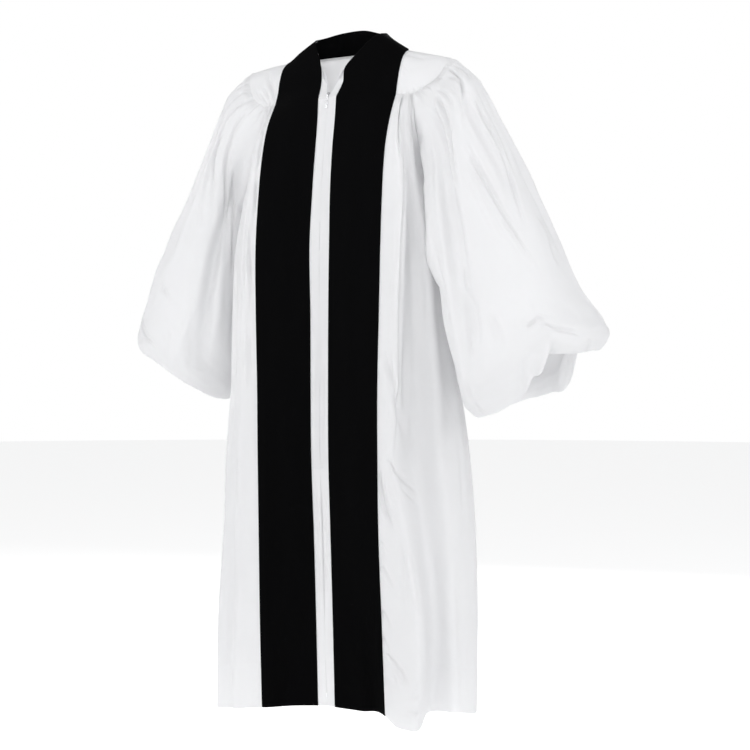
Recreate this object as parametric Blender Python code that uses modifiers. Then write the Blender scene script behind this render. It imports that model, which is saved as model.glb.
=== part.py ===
"""Pulpit robe, filled out and hollow: white cloth, black velvet front panels and neck band, a short zip opening at the neck.

Metres, +Z up. The front faces -Y and the wearer's left is +X. The origin is the middle of the shoulder line, where the wearer's shoulders carry the robe.
"""

import math

import bmesh
import bpy
from mathutils import Matrix, Vector

# ---- driving sizes ----
CLOTH = 0.0015  # wall of the white cloth
VELVET = 0.002  # velvet with its facing
TAPE = 0.001  # zip tape
SEAM = 0.0003  # least gap between pieces at a seam
LIFT = 0.00045  # gap under what lies on a panel
YOKE_Z = -0.10  # front yoke seam
BACK_YOKE_Z = -0.145  # back yoke seam
UNDERARM_Z = -0.30
HEM_Z = -1.37
ZIP_END_Z = -0.87
BAND_LIFT = 0.0015  # gap under the neck band, where it laps the back yoke
TAPE_WIDTH = 0.013
RIGHT_SHOULDER_UP = 0.010  # the right shoulder sits a little higher
PULL_LENGTH = 0.030
PULL_WIDTH = 0.0042

# Across a front, from the centre line to the side seam: where the named lines lie, measured over the cloth.
FRONT_LINES = {"centre": 0.0, "strip": 0.0205, "mid": 0.0845, "edge": 0.1485, "flat": 0.170, "crest": 0.192, "valley": 0.245, "side": 0.295, "seam": 0.365}
LINE_NAMES = list(FRONT_LINES)
KNOTS = [FRONT_LINES[name] for name in LINE_NAMES]
STEPS = {"strip": 1, "mid": 2, "edge": 2, "flat": 1, "crest": 1, "valley": 2, "side": 2, "seam": 3}

# Centre strip and velvet, the same on both sides: the strip's half width, and how far forward the middle of a velvet panel is.
STRIP = [
    # z, centre_y, strip_x, mid_y
    (-0.10, -0.0860, 0.0215, -0.0800),
    (-0.145, -0.0905, 0.0210, -0.0940),
    (-0.20, -0.0990, 0.0205, -0.1070),
    (-0.26, -0.1070, 0.0210, -0.1155),
    (-0.30, -0.1110, 0.0215, -0.1195),
    (-0.40, -0.1180, 0.0235, -0.1270),
    (-0.55, -0.1180, 0.0215, -0.1275),
    (-0.69, -0.1180, 0.0210, -0.1270),
    (-0.85, -0.1160, 0.0205, -0.1250),
    (-1.00, -0.1070, 0.0200, -0.1180),
    (-1.18, -0.0975, 0.0200, -0.1080),
    (-1.37, -0.0890, 0.0200, -0.0975),
]

# One row for each section of a front, outside the velvet: edge is the velvet's outer edge, flat and crest the pleat beside it, valley behind the pleat.
FRONT_LEFT = [
    # z, edge_x, edge_y, flat_x, flat_y, crest_x, crest_y, valley_x, valley_y, side_x, side_y
    (-0.10, 0.1465, -0.056, 0.152, -0.0550, 0.158, -0.0535, 0.166, -0.051, 0.175, -0.0490),
    (-0.145, 0.148, -0.082, 0.156, -0.0820, 0.165, -0.0810, 0.174, -0.069, 0.181, -0.0600),
    (-0.20, 0.148, -0.102, 0.161, -0.1035, 0.174, -0.1040, 0.184, -0.084, 0.192, -0.0700),
    (-0.26, 0.1485, -0.114, 0.167, -0.1165, 0.184, -0.1180, 0.193, -0.091, 0.202, -0.0745),
    (-0.30, 0.149, -0.119, 0.170, -0.1220, 0.189, -0.1240, 0.197, -0.093, 0.212, -0.0740),
    (-0.40, 0.150, -0.128, 0.172, -0.1305, 0.1925, -0.1320, 0.200, -0.093, 0.226, -0.0740),
    (-0.55, 0.148, -0.131, 0.169, -0.1335, 0.189, -0.1340, 0.200, -0.087, 0.237, -0.0730),
    (-0.69, 0.145, -0.132, 0.166, -0.1330, 0.185, -0.1320, 0.201, -0.079, 0.246, -0.0690),
    (-0.85, 0.144, -0.130, 0.161, -0.1325, 0.178, -0.1320, 0.199, -0.075, 0.254, -0.0610),
    (-1.00, 0.143, -0.124, 0.173, -0.1270, 0.204, -0.1300, 0.213, -0.062, 0.260, -0.0430),
    (-1.18, 0.142, -0.108, 0.185, -0.1220, 0.231, -0.1310, 0.226, -0.050, 0.266, -0.0350),
    (-1.37, 0.140, -0.090, 0.183, -0.1240, 0.229, -0.1330, 0.214, -0.036, 0.262, -0.0220),
]
FRONT_RIGHT = [
    # z, edge_x, edge_y, flat_x, flat_y, crest_x, crest_y, valley_x, valley_y, side_x, side_y
    (-0.10, 0.1465, -0.056, 0.152, -0.0550, 0.158, -0.0535, 0.166, -0.051, 0.175, -0.0490),
    (-0.145, 0.148, -0.082, 0.154, -0.0800, 0.162, -0.0780, 0.171, -0.070, 0.180, -0.0620),
    (-0.20, 0.148, -0.102, 0.156, -0.0990, 0.167, -0.0985, 0.182, -0.086, 0.194, -0.0750),
    (-0.26, 0.1485, -0.114, 0.158, -0.1105, 0.171, -0.1110, 0.190, -0.095, 0.200, -0.0820),
    (-0.30, 0.149, -0.119, 0.160, -0.1150, 0.173, -0.1160, 0.195, -0.100, 0.209, -0.0850),
    (-0.40, 0.150, -0.128, 0.163, -0.1240, 0.177, -0.1250, 0.206, -0.107, 0.229, -0.0860),
    (-0.55, 0.148, -0.131, 0.165, -0.1280, 0.181, -0.1300, 0.210, -0.112, 0.237, -0.0870),
    (-0.69, 0.145, -0.131, 0.166, -0.1280, 0.184, -0.1300, 0.211, -0.112, 0.240, -0.0880),
    (-0.85, 0.144, -0.130, 0.167, -0.1275, 0.187, -0.1285, 0.214, -0.112, 0.252, -0.0900),
    (-1.00, 0.143, -0.128, 0.168, -0.1260, 0.189, -0.1265, 0.219, -0.111, 0.260, -0.0900),
    (-1.18, 0.142, -0.125, 0.167, -0.1230, 0.190, -0.1235, 0.225, -0.109, 0.270, -0.0900),
    (-1.37, 0.140, -0.120, 0.166, -0.1180, 0.190, -0.1195, 0.230, -0.108, 0.276, -0.0910),
]

# Side seams and the middle of the back. Above the underarm the seam is the armhole.
SEAMS = [
    # z, left_x, left_y, right_x, right_y, back_y
    (-0.30, 0.216, 0.000, 0.216, 0.000, 0.112),
    (-0.40, 0.225, 0.006, 0.225, 0.004, 0.118),
    (-0.55, 0.236, 0.015, 0.239, 0.010, 0.124),
    (-0.69, 0.248, 0.024, 0.250, 0.014, 0.130),
    (-0.85, 0.270, 0.028, 0.264, 0.017, 0.136),
    (-1.00, 0.280, 0.034, 0.272, 0.019, 0.143),
    (-1.18, 0.283, 0.040, 0.281, 0.021, 0.152),
    (-1.37, 0.277, 0.045, 0.287, 0.022, 0.163),
]
BACK_TOP_Y = [(-0.145, 0.097), (-0.20, 0.103), (-0.26, 0.109), (-0.30, 0.112)]

# The armhole, once round from the shoulder tip by the front: turn is 0 at the tip, 0.25 in front, 0.5 underarm, 0.75 behind.
ARMHOLE = [
    # turn, x, y, z
    (0.00, 0.245, 0.000, -0.026),
    (0.05, 0.239, -0.014, -0.041),
    (0.10, 0.231, -0.026, -0.064),
    (0.15, 0.217, -0.036, -0.079),
    (0.20, 0.200, -0.044, -0.090),
    (0.25, 0.183, -0.047, -0.100),
    (0.31, 0.186, -0.051, -0.145),
    (0.38, 0.194, -0.048, -0.200),
    (0.44, 0.206, -0.030, -0.260),
    (0.50, 0.216, 0.000, -0.300),
    (0.56, 0.207, 0.036, -0.260),
    (0.62, 0.197, 0.062, -0.200),
    (0.69, 0.193, 0.068, -0.145),
    (0.75, 0.196, 0.062, -0.100),
    (0.81, 0.203, 0.048, -0.070),
    (0.87, 0.215, 0.033, -0.049),
    (0.94, 0.233, 0.015, -0.033),
    (1.00, 0.245, 0.000, -0.026),
]

# Front yoke, from the yoke seam up to the shoulder line. vee is how open the neck is in front, a is the velvet's inner edge and b its outer edge.
YOKE = [
    # row, vee_x, a_x, a_y, a_z, b_x, b_y, b_z, turn
    (1, 0.0115, 0.0260, -0.0665, -0.068, 0.1455, -0.048, -0.076, 0.20),
    (2, 0.0265, 0.0290, -0.0610, -0.036, 0.1460, -0.040, -0.048, 0.15),
    (3, 0.0500, 0.0510, -0.0390, 0.000, 0.1460, -0.028, -0.023, 0.10),
    (4, 0.0690, 0.0700, -0.0210, 0.027, 0.1450, -0.012, -0.008, 0.05),
    (5, 0.0770, 0.0780, 0.0000, 0.039, 0.1430, 0.005, 0.000, 0.00),
]

# Neck band round the back, from the shoulder line to the middle of the back: a is its top edge and b its lower edge.
BAND = [
    # part, a_x, a_y, left a_z, right a_z, b_x, b_y, b_z
    (0.0, 0.0000, 0.0680, 0.0660, 0.066, 0.0000, 0.0860, 0.012),
    (0.35, 0.0450, 0.0600, 0.0530, 0.063, 0.0670, 0.0760, 0.010),
    (0.7, 0.0750, 0.0290, 0.0450, 0.048, 0.1180, 0.0420, 0.003),
    (1.0, 0.0780, 0.0000, 0.0390, 0.039, 0.1430, 0.0050, 0.000),
]

# Sleeves, a row for each ring: the outer and inner points, where the middle lies, its half depth, how square it is, and how far its front and back hang below its middle.
SLEEVE_LEFT = [
    # ring, out_x, out_z, in_x, in_z, mid_y, depth, square, front_drop, back_drop
    (1, 0.299, -0.066, 0.229, -0.322, -0.006, 0.080, 2.2, 0.000, 0.000),
    (2, 0.345, -0.146, 0.240, -0.375, -0.012, 0.101, 2.4, 0.000, 0.000),
    (3, 0.408, -0.262, 0.249, -0.445, -0.015, 0.116, 2.6, 0.004, 0.000),
    (4, 0.462, -0.378, 0.258, -0.515, -0.015, 0.121, 2.7, 0.010, 0.004),
    (5, 0.511, -0.484, 0.270, -0.590, -0.012, 0.124, 2.6, 0.020, 0.010),
    (6, 0.560, -0.552, 0.284, -0.665, -0.010, 0.127, 2.6, 0.029, 0.018),
    (7, 0.579, -0.592, 0.300, -0.722, -0.010, 0.124, 2.5, 0.035, 0.023),
    (8, 0.563, -0.624, 0.324, -0.748, -0.010, 0.110, 2.4, 0.035, 0.027),
    (9, 0.534, -0.616, 0.348, -0.730, -0.010, 0.094, 2.3, 0.032, 0.027),
    (10, 0.519, -0.588, 0.358, -0.697, -0.010, 0.086, 2.3, 0.028, 0.025),
]
SLEEVE_RIGHT = [
    # ring, out_x, out_z, in_x, in_z, mid_y, depth, square, front_drop, back_drop
    (1, 0.288, -0.050, 0.229, -0.322, 0.008, 0.073, 2.2, 0.000, 0.000),
    (2, 0.325, -0.138, 0.240, -0.375, 0.007, 0.093, 2.2, 0.000, 0.000),
    (3, 0.375, -0.249, 0.249, -0.445, 0.003, 0.106, 2.2, 0.004, 0.000),
    (4, 0.425, -0.347, 0.258, -0.515, -0.003, 0.112, 2.2, 0.008, 0.004),
    (5, 0.468, -0.446, 0.270, -0.590, -0.006, 0.117, 2.3, 0.010, 0.008),
    (6, 0.502, -0.525, 0.284, -0.655, -0.006, 0.119, 2.2, 0.012, 0.012),
    (7, 0.519, -0.580, 0.300, -0.705, -0.006, 0.116, 2.2, 0.012, 0.014),
    (8, 0.508, -0.610, 0.322, -0.728, -0.006, 0.105, 2.2, 0.012, 0.014),
    (9, 0.482, -0.602, 0.344, -0.712, -0.006, 0.092, 2.2, 0.010, 0.014),
    (10, 0.468, -0.576, 0.354, -0.680, -0.006, 0.084, 2.2, 0.010, 0.012),
]
SLEEVE_RINGS = (0, 0.5, 1, 1.5, 2, 3, 4, 5, 6, 6.7, 7.4, 8.1, 8.9, 10)
SLEEVE_SIDES = 26

# The largest sleeve folds, a trough where depth is negative.
SLEEVE_FOLDS = {
    1: [
        # turn, turn_end, half_width, depth, ring, ring_end
        (0.250, 0.330, 0.045, -0.013, 0.4, 7.0),
        (0.120, 0.075, 0.040, -0.008, 0.3, 3.5),
        (0.370, 0.420, 0.110, 0.022, 0.3, 3.8),
        (0.620, 0.600, 0.055, -0.011, 0.5, 6.5),
        (0.800, 0.740, 0.055, -0.012, 0.4, 7.5),
        (0.890, 0.900, 0.045, -0.008, 0.6, 5.0),
    ],
    -1: [
        # turn, turn_end, half_width, depth, ring, ring_end
        (0.330, 0.370, 0.045, -0.016, 0.6, 6.6),
        (0.210, 0.230, 0.050, -0.007, 0.4, 5.0),
        (0.130, 0.150, 0.050, -0.007, 0.5, 5.0),
        (0.640, 0.610, 0.055, -0.010, 0.5, 6.0),
        (0.780, 0.800, 0.055, -0.012, 0.4, 7.0),
        (0.900, 0.880, 0.050, -0.008, 0.6, 4.5),
    ],
}

# How far a sleeve's end is drawn up round its hem: the lobes and the notch that the photo shows.
HEM_RISE = {
    1: [
        # turn, rise
        (0.00, 0.000), (0.05, 0.008), (0.08, 0.017), (0.12, 0.032), (0.15, 0.044), (0.172, 0.054), (0.190, 0.023),
        (0.215, 0.021), (0.232, 0.000), (0.25, -0.004), (0.29, -0.006), (0.35, -0.002), (0.42, 0.000), (0.50, 0.000),
        (0.56, 0.010), (0.62, 0.018), (0.66, 0.019), (0.70, 0.013), (0.735, 0.008), (0.769, 0.008), (0.785, 0.056),
        (0.80, 0.066), (0.85, 0.046), (0.90, 0.028), (0.95, 0.012), (1.00, 0.000),
    ],
    -1: [
        # turn, rise
        (0.00, 0.000), (0.08, 0.002), (0.16, 0.010), (0.21, 0.020), (0.25, 0.024), (0.32, 0.020), (0.38, 0.013),
        (0.43, 0.006), (0.50, -0.004), (0.60, 0.000), (0.75, 0.012), (0.90, 0.004), (1.00, 0.000),
    ],
}

# The back's folds, gathered at the yoke: across is -1 at the right side seam and 1 at the left one.
BACK_FOLDS = [
    # across, across_end, half_width, depth, z_top, z_end
    (-0.78, -0.80, 0.085, -0.016, -0.20, -1.45),
    (-0.55, -0.60, 0.080, -0.022, -0.17, -1.45),
    (-0.30, -0.34, 0.085, -0.017, -0.16, -1.45),
    (-0.06, -0.10, 0.090, -0.026, -0.155, -1.45),
    (0.20, 0.18, 0.085, -0.018, -0.16, -1.45),
    (0.43, 0.46, 0.080, -0.024, -0.165, -1.45),
    (0.68, 0.74, 0.085, -0.018, -0.18, -1.45),
]

# How far the hem hangs below or above its middle, by line and side.
HEM_DROP = {
    1: {"centre": 0.003, "strip": 0.002, "mid": -0.001, "edge": -0.004, "flat": -0.015, "crest": -0.017, "valley": 0.002, "side": 0.004, "seam": -0.009},
    -1: {"centre": 0.003, "strip": 0.001, "mid": -0.004, "edge": -0.010, "flat": -0.013, "crest": -0.017, "valley": -0.022, "side": -0.028, "seam": -0.026},
}


# ---- curves ----
def through(knots, points, s):
    """The smooth curve through points, each reached at its knot."""
    n = len(knots) - 1
    i = 0
    while i < n - 1 and s > knots[i + 1]:
        i += 1

    def slope(j):
        if j == 0:
            return (points[1] - points[0]) / (knots[1] - knots[0])
        if j == n:
            return (points[n] - points[n - 1]) / (knots[n] - knots[n - 1])
        before, after = knots[j] - knots[j - 1], knots[j + 1] - knots[j]
        return ((points[j] - points[j - 1]) / before * after + (points[j + 1] - points[j]) / after * before) / (before + after)

    h = knots[i + 1] - knots[i]
    u = (s - knots[i]) / h
    return (
        points[i] * (2 * u**3 - 3 * u * u + 1)
        + slope(i) * (h * (u**3 - 2 * u * u + u))
        + points[i + 1] * (3 * u * u - 2 * u**3)
        + slope(i + 1) * (h * (u**3 - u * u))
    )


def at_z(table, column, z):
    """A column of a table whose first column is z, top row first."""
    return through([-row[0] for row in table], [row[column] for row in table], -z)


def ease(x):
    x = min(max(x, 0.0), 1.0)
    return x * x * (3 - 2 * x)


def between(low, high, count):
    return [low + (high - low) * i / count for i in range(count + 1)]


# ---- body ----
def armhole(side, turn):
    rows = [Vector((side * x, y, z)) for _, x, y, z in ARMHOLE]
    point = through([row[0] for row in ARMHOLE], rows, turn % 1.0)
    if side < 0:
        point.z += RIGHT_SHOULDER_UP * max(0.0, math.cos(2 * math.pi * turn)) ** 2
    return point


def armhole_at_z(side, z, back=False):
    rows = [row for row in ARMHOLE if (row[0] >= 0.5) == back or row[0] == 0.5]
    rows = [row for row in rows if row[3] <= -0.099]
    rows.sort(key=lambda row: -row[3])
    knots = [-row[3] for row in rows]
    return through(knots, [Vector((side * row[1], row[2], row[3])) for row in rows], -z)


def seam_point(side, z, back=False):
    if z > UNDERARM_Z:
        return armhole_at_z(side, z, back)
    column = 1 if side > 0 else 3
    return Vector((side * at_z(SEAMS, column, z), at_z(SEAMS, column + 1, z), z))


def hem_ease(z):
    """How much of the hem's unevenness has built up at this height."""
    return ease((-z - 0.95) / (-HEM_Z - 0.95))


def front_line(side, name, z):
    """A point of one of the named lines down a front."""
    if name in ("centre", "strip", "mid"):
        strip_x = at_z(STRIP, 2, z)
        table = FRONT_LEFT if side > 0 else FRONT_RIGHT
        edge_x, edge_y = at_z(table, 1, z), at_z(table, 2, z)
        lean = edge_y - at_z(FRONT_RIGHT, 2, z)
        x = {"centre": 0.0, "strip": strip_x, "mid": (strip_x + edge_x) / 2}[name]
        y = at_z(STRIP, 3, z) + 0.5 * lean if name == "mid" else at_z(STRIP, 1, z)
        point = Vector((side * x, y, z))
    elif name == "seam":
        point = seam_point(side, z)
    else:
        table = FRONT_LEFT if side > 0 else FRONT_RIGHT
        column = {"edge": 1, "flat": 3, "crest": 5, "valley": 7, "side": 9}[name]
        point = Vector((side * at_z(table, column, z), at_z(table, column + 1, z), z))
    point.z += HEM_DROP[side][name] * hem_ease(z)
    return point


def front(side, f, z):
    """A point of a front, f metres over the cloth from the centre line."""
    return through(KNOTS, [front_line(side, name, z) for name in LINE_NAMES], f)


def yoke_line(side, name, row):
    if row == 0:
        return front_line(side, name, YOKE_Z)
    _, vee_x, ax, ay, az, bx, by, bz, turn = YOKE[row - 1]
    a, b, c = Vector((side * ax, ay, az)), Vector((side * bx, by, bz)), armhole(side, turn)
    if name == "centre":
        return Vector((side * vee_x, ay - 0.25 * (ax - vee_x), az - 0.3 * (ax - vee_x)))
    if name == "strip":
        return a
    if name == "mid":
        return (a + b) / 2 + Vector((0, -0.003, 0.003)) * (1 - row / 7)
    share = {"edge": 0.0, "flat": 0.16, "crest": 0.32, "valley": 0.55, "side": 0.78, "seam": 1.0}[name]
    return b + (c - b) * share + Vector((0, -0.0012, 0.0012)) * math.sin(math.pi * share)


def yoke(side, f, row):
    lines = []
    for name in LINE_NAMES:
        lines.append(through([0, 1, 2, 3, 4, 5], [yoke_line(side, name, i) for i in range(6)], row))
    return through(KNOTS, lines, f)


def back_fold(v, z):
    """How far the back's folds move the cloth out at this place."""
    total = 0.0
    for across, across_end, half_width, depth, z_top, z_end in BACK_FOLDS:
        down = (z_top - z) / (z_top - z_end)
        if down <= 0:
            continue
        middle = across + (across_end - across) * down
        reach = (v - middle) / half_width
        if abs(reach) < 1:
            total += depth * (0.35 + 0.65 * ease(down / 0.9)) * ease(down / 0.12) * math.cos(reach * math.pi / 2) ** 2
    return total


def back(v, z):
    """A point of the back, v from -1 at the right side seam to 1 at the left one."""
    side = 1 if v >= 0 else -1
    seam = seam_point(side, z, back=True)
    if z > UNDERARM_Z:
        middle_y = through([-row[0] for row in BACK_TOP_Y], [row[1] for row in BACK_TOP_Y], -z)
    else:
        middle_y = at_z(SEAMS, 5, z)
    angle = abs(v) * math.pi / 2
    x, y = abs(seam.x) * math.sin(angle), seam.y + (middle_y - seam.y) * math.cos(angle)
    out = Vector((x * (middle_y - seam.y), (y - seam.y) * abs(seam.x), 0)).normalized() if middle_y > seam.y else Vector((0, 1, 0))
    fold = back_fold(v, z)
    drop = (HEM_DROP[side]["seam"] * math.sin(angle) ** 2 - 0.018 * math.cos(angle) ** 2 + 0.2 * fold) * hem_ease(z)
    return Vector((side * (x + out.x * fold * 0.6), y + out.y * fold, z + drop))


def band(part, share):
    """A point of the neck band's base: part runs from -1 at the right shoulder to 1 at the left one, share from the lower edge to the top edge."""
    rows = [(-row[0], -row[1], row[2], row[4], -row[5], row[6], row[7]) for row in reversed(BAND[1:])]
    rows += [(row[0], row[1], row[2], row[3], row[5], row[6], row[7]) for row in BAND]
    knots = [row[0] for row in rows]
    a = through(knots, [Vector(row[1:4]) for row in rows], part)
    b = through(knots, [Vector(row[4:7]) for row in rows], part)
    return b + (a - b) * share


def yoke_back(v, q):
    """A point of the back yoke: q is below 0 where it is tucked under the neck band, 0 at the band or the shoulder line, 1 at the back yoke seam."""
    side = 1 if v >= 0 else -1
    far = abs(v)
    if far <= 0.5:
        top = band(side * far * 2, 0.0)
        if q < 0:
            return band(side * far * 2, -q)
    else:
        b, tip = band(side, 0.0), armhole(side, 0.0)
        top = b + (tip - b) * (far - 0.5) * 2
        if q < 0:
            q = 0.0
    low = back(v, BACK_YOKE_Z)
    point = top + (low - top) * q
    bulge = (0.004 + 0.018 * ease(far / 0.5)) * (1 - ease((far - 0.7) / 0.3))
    point += Vector((0, 0.7, 0.7)) * (bulge * 4 * q * (1 - q))
    edge = armhole(side, 1.0 - 0.31 * q) if q > 0 else armhole(side, 0.0)
    straight = armhole(side, 0.0) + (armhole(side, 0.69) - armhole(side, 0.0)) * q
    return point + (edge - straight) * ease((far - 0.5) / 0.5) ** 2


# ---- sleeves ----
def ring_point(side, turn, index):
    """A point of a ring of the table, before the folds."""
    if index == 0:
        return armhole(side, turn)
    table = SLEEVE_LEFT if side > 0 else SLEEVE_RIGHT
    _, out_x, out_z, in_x, in_z, mid_y, depth, square, front_drop, back_drop = table[index - 1]
    c, s = math.cos(2 * math.pi * turn), math.sin(2 * math.pi * turn)
    along = math.copysign(abs(c) ** (2 / square), c)
    forward = math.copysign(abs(s) ** (2 / square), s)
    x = (out_x + in_x) / 2 + along * (out_x - in_x) / 2
    z = (out_z + in_z) / 2 + along * (out_z - in_z) / 2 - front_drop * max(0.0, forward) - back_drop * max(0.0, -forward)
    if index > 4:
        rows = HEM_RISE[side]
        rise = through([row[0] for row in rows], [row[1] for row in rows], turn % 1.0)
        z += rise * ease((index - 4.3) / 3.5) * (1 - 0.6 * ease((index - 8) / 2))
    return Vector((side * x, mid_y - depth * forward, z))


def sleeve_base(side, turn, ring):
    return through(list(range(11)), [ring_point(side, turn, i) for i in range(11)], ring)


def sleeve_fold(side, turn, ring):
    total = 0.0
    for start, end, half_width, depth, ring_start, ring_end in SLEEVE_FOLDS[side]:
        down = (ring - ring_start) / (ring_end - ring_start)
        if not 0 < down < 1:
            continue
        reach = ((turn - start - (end - start) * down + 0.5) % 1.0 - 0.5) / half_width
        if abs(reach) < 1:
            total += depth * math.sin(math.pi * down) ** 0.6 * math.cos(reach * math.pi / 2) ** 2
    return total


def sleeve_out(side, turn, ring):
    """Which way the sleeve's outside faces at this place."""
    across = sleeve_base(side, turn + 0.01, ring) - sleeve_base(side, turn - 0.01, ring)
    down = sleeve_base(side, turn, min(ring + 0.05, 10)) - sleeve_base(side, turn, max(ring - 0.05, 0))
    return across.cross(down).normalized() * side


def sleeve(side, turn, ring):
    fold = sleeve_fold(side, turn, ring)
    point = sleeve_base(side, turn, ring)
    return point + sleeve_out(side, turn, ring) * fold if fold else point


# ---- grids and solids ----
def trim(grid, top=0.0, bottom=0.0, left=0.0, right=0.0):
    """Draws the edges of a grid of points back, each by its own distance."""
    rows, columns = len(grid), len(grid[0])
    moves = []
    for j in range(columns):
        moves.append((0, j, grid[1][j], top))
        moves.append((rows - 1, j, grid[rows - 2][j], bottom))
    for i in range(rows):
        moves.append((i, 0, grid[i][1], left))
        moves.append((i, columns - 1, grid[i][columns - 2], right))
    for i, j, towards, distance in moves:
        way = towards - grid[i][j]
        if distance and way.length > 1e-6:
            grid[i][j] = grid[i][j] + way.normalized() * distance
    return grid


def faces_of(rows, columns, closed, flip):
    faces = []
    for i in range(rows - 1):
        for j in range(columns if closed else columns - 1):
            k = (j + 1) % columns
            face = (i * columns + j, i * columns + k, (i + 1) * columns + k, (i + 1) * columns + j)
            faces.append(face[::-1] if flip else face)
    return faces


def lifted(grid, distance, flip, closed=False):
    """The grid moved out along its own normals."""
    rows, columns = len(grid), len(grid[0])
    mesh = bpy.data.meshes.new("lift")
    mesh.from_pydata([p for row in grid for p in row], [], faces_of(rows, columns, closed, flip))
    mesh.update()
    moved = [v.co + v.normal * distance for v in mesh.vertices]
    bpy.data.meshes.remove(mesh)
    return [moved[i * columns : (i + 1) * columns] for i in range(rows)]


def wall(name, grid, thickness, material, flip, closed=False):
    """A cloth piece: an open surface, given its wall inwards."""
    rows, columns = len(grid), len(grid[0])
    mesh = bpy.data.meshes.new(name)
    mesh.from_pydata([p for row in grid for p in row], [], faces_of(rows, columns, closed, flip))
    mesh.update()
    mesh.shade_smooth()
    mesh.materials.append(material)
    thing = bpy.data.objects.new(name, mesh)
    robe.objects.link(thing)
    solid = thing.modifiers.new("wall", "SOLIDIFY")
    solid.thickness = thickness
    solid.offset = -1.0
    return thing


def finish(name, color, roughness, metallic=0.0, sheen=0.0):
    material = bpy.data.materials.new(name)
    material.use_nodes = True
    shader = material.node_tree.nodes["Principled BSDF"]
    shader.inputs["Base Color"].default_value = (*color, 1.0)
    shader.inputs["Roughness"].default_value = roughness
    shader.inputs["Metallic"].default_value = metallic
    shader.inputs["Sheen Weight"].default_value = sheen
    return material


def columns_between(first, last):
    """Where the columns of a front or yoke lie, from one named line to another."""
    start = LINE_NAMES.index(first)
    found = [FRONT_LINES[first]]
    for name in LINE_NAMES[start + 1 : LINE_NAMES.index(last) + 1]:
        low = FRONT_LINES[LINE_NAMES[LINE_NAMES.index(name) - 1]]
        found += between(low, FRONT_LINES[name], STEPS[name])[1:]
    return found


def side_name(side):
    return "left" if side > 0 else "right"


for thing in list(bpy.data.objects):
    bpy.data.objects.remove(thing, do_unlink=True)
robe = bpy.data.collections.new("pulpit_robe")
cutters = bpy.data.collections.new("cutters")
for collection in (robe, cutters):
    bpy.context.scene.collection.children.link(collection)

white = finish("white_cloth", (0.86, 0.86, 0.88), 0.75, sheen=0.1)
black = finish("black_velvet", (0.006, 0.006, 0.007), 0.95, sheen=0.3)
tape_white = finish("zip_tape", (0.84, 0.84, 0.86), 0.8)
metal = finish("zip_metal", (0.75, 0.75, 0.77), 0.28, metallic=1.0)

FRONT_ROWS = [-0.10, -0.145, -0.20, -0.26, -0.30, -0.35, -0.42, -0.50, -0.60, -0.69, -0.77, -0.85, -0.925, -1.00, -1.09, -1.18, -1.275, -1.37]
BACK_ROWS = [-0.145, -0.17, -0.20, -0.26, -0.30, -0.38, -0.50, -0.64, -0.80, -0.96, -1.12, -1.25, -1.37]
YOKE_ROWS = [0, 1, 2, 3, 4, 5]
BACK_COLUMNS = 30

front_columns = columns_between("centre", "seam")
velvet_columns = columns_between("strip", "edge")

for side in (1, -1):
    flip = side > 0
    # The front, from the yoke seam to the hem.
    grid = [[front(side, f, z) for f in front_columns] for z in FRONT_ROWS]
    wall(f"front_{side_name(side)}", trim(grid, top=0.0008, left=SEAM / 2, right=0.0011), CLOTH, white, flip)

    # The front yoke, from the yoke seam to the shoulder line.
    grid = [[yoke(side, f, row) for f in front_columns] for row in YOKE_ROWS]
    wall(f"yoke_{side_name(side)}", trim(grid, top=0.0008, bottom=0.0017, left=SEAM / 2 + 0.0001), CLOTH, white, not flip)

    # The velvet panel, over both of them.
    low = [[front(side, f, z) for f in front_columns] for z in reversed(FRONT_ROWS)]
    high = [[yoke(side, f, row) for f in front_columns] for row in YOKE_ROWS[1:]]
    out = lifted(low + high, LIFT + VELVET, not flip)
    first, last = front_columns.index(velvet_columns[0]), front_columns.index(velvet_columns[-1])
    grid = [row[first : last + 1] for row in out]
    wall(f"velvet_{side_name(side)}", trim(grid, bottom=0.0012), VELVET, black, not flip)

# The back, from the back yoke seam to the hem.
across = between(-1.0, 1.0, BACK_COLUMNS)
grid = [[back(v, z) for v in across] for z in BACK_ROWS]
wall("back", trim(grid, top=0.0005, left=0.0008, right=0.0008), CLOTH, white, False)

# The back yoke, tucked under the neck band at its top edge.
across = between(-1.0, 1.0, 20)
grid = [[yoke_back(v, q) for v in across] for q in (-0.1, 0.06, 0.25, 0.5, 0.75, 1.0)]
wall("yoke_back", trim(grid, top=0.0016, bottom=0.0005), CLOTH, white, False)

# The neck band, round the back of the neck from one shoulder line to the other.
around = between(-1.0, 1.0, 18)
grid = [[band(part, share) for part in around] for share in between(0.0, 1.0, 2)]
wall("velvet_collar", trim(lifted(grid, BAND_LIFT + VELVET, True), left=0.0009, right=0.0009), VELVET, black, True)

# The sleeves.
for side in (1, -1):
    grid = []
    for ring in SLEEVE_RINGS:
        grid.append([sleeve(side, j / SLEEVE_SIDES, ring) for j in range(SLEEVE_SIDES)])
    grid[0] = [p + (q - p).normalized() * 0.0031 for p, q in zip(grid[0], grid[1])]
    wall(f"sleeve_{side_name(side)}", grid, CLOTH, white, side < 0, closed=True)

# The zip tapes, behind the edges of the fronts and of the neck's opening: hidden below the slider, seen in the opening above it.
def tape_point(side, distance, z, row):
    """A point that lies this far over the cloth from the front's edge, at a height of the front or a row of the yoke."""
    def surface(f):
        return yoke(side, f, row) if row > 0 else front(side, f, z)

    point = surface(0.0)
    if distance <= 0:
        return point + (point - surface(0.004)).normalized() * -distance
    f, left = 0.0, distance
    while True:
        step = surface(f + 0.001) - point
        if step.length >= left:
            return point + step * (left / step.length)
        left -= step.length
        point, f = point + step, f + 0.001


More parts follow.
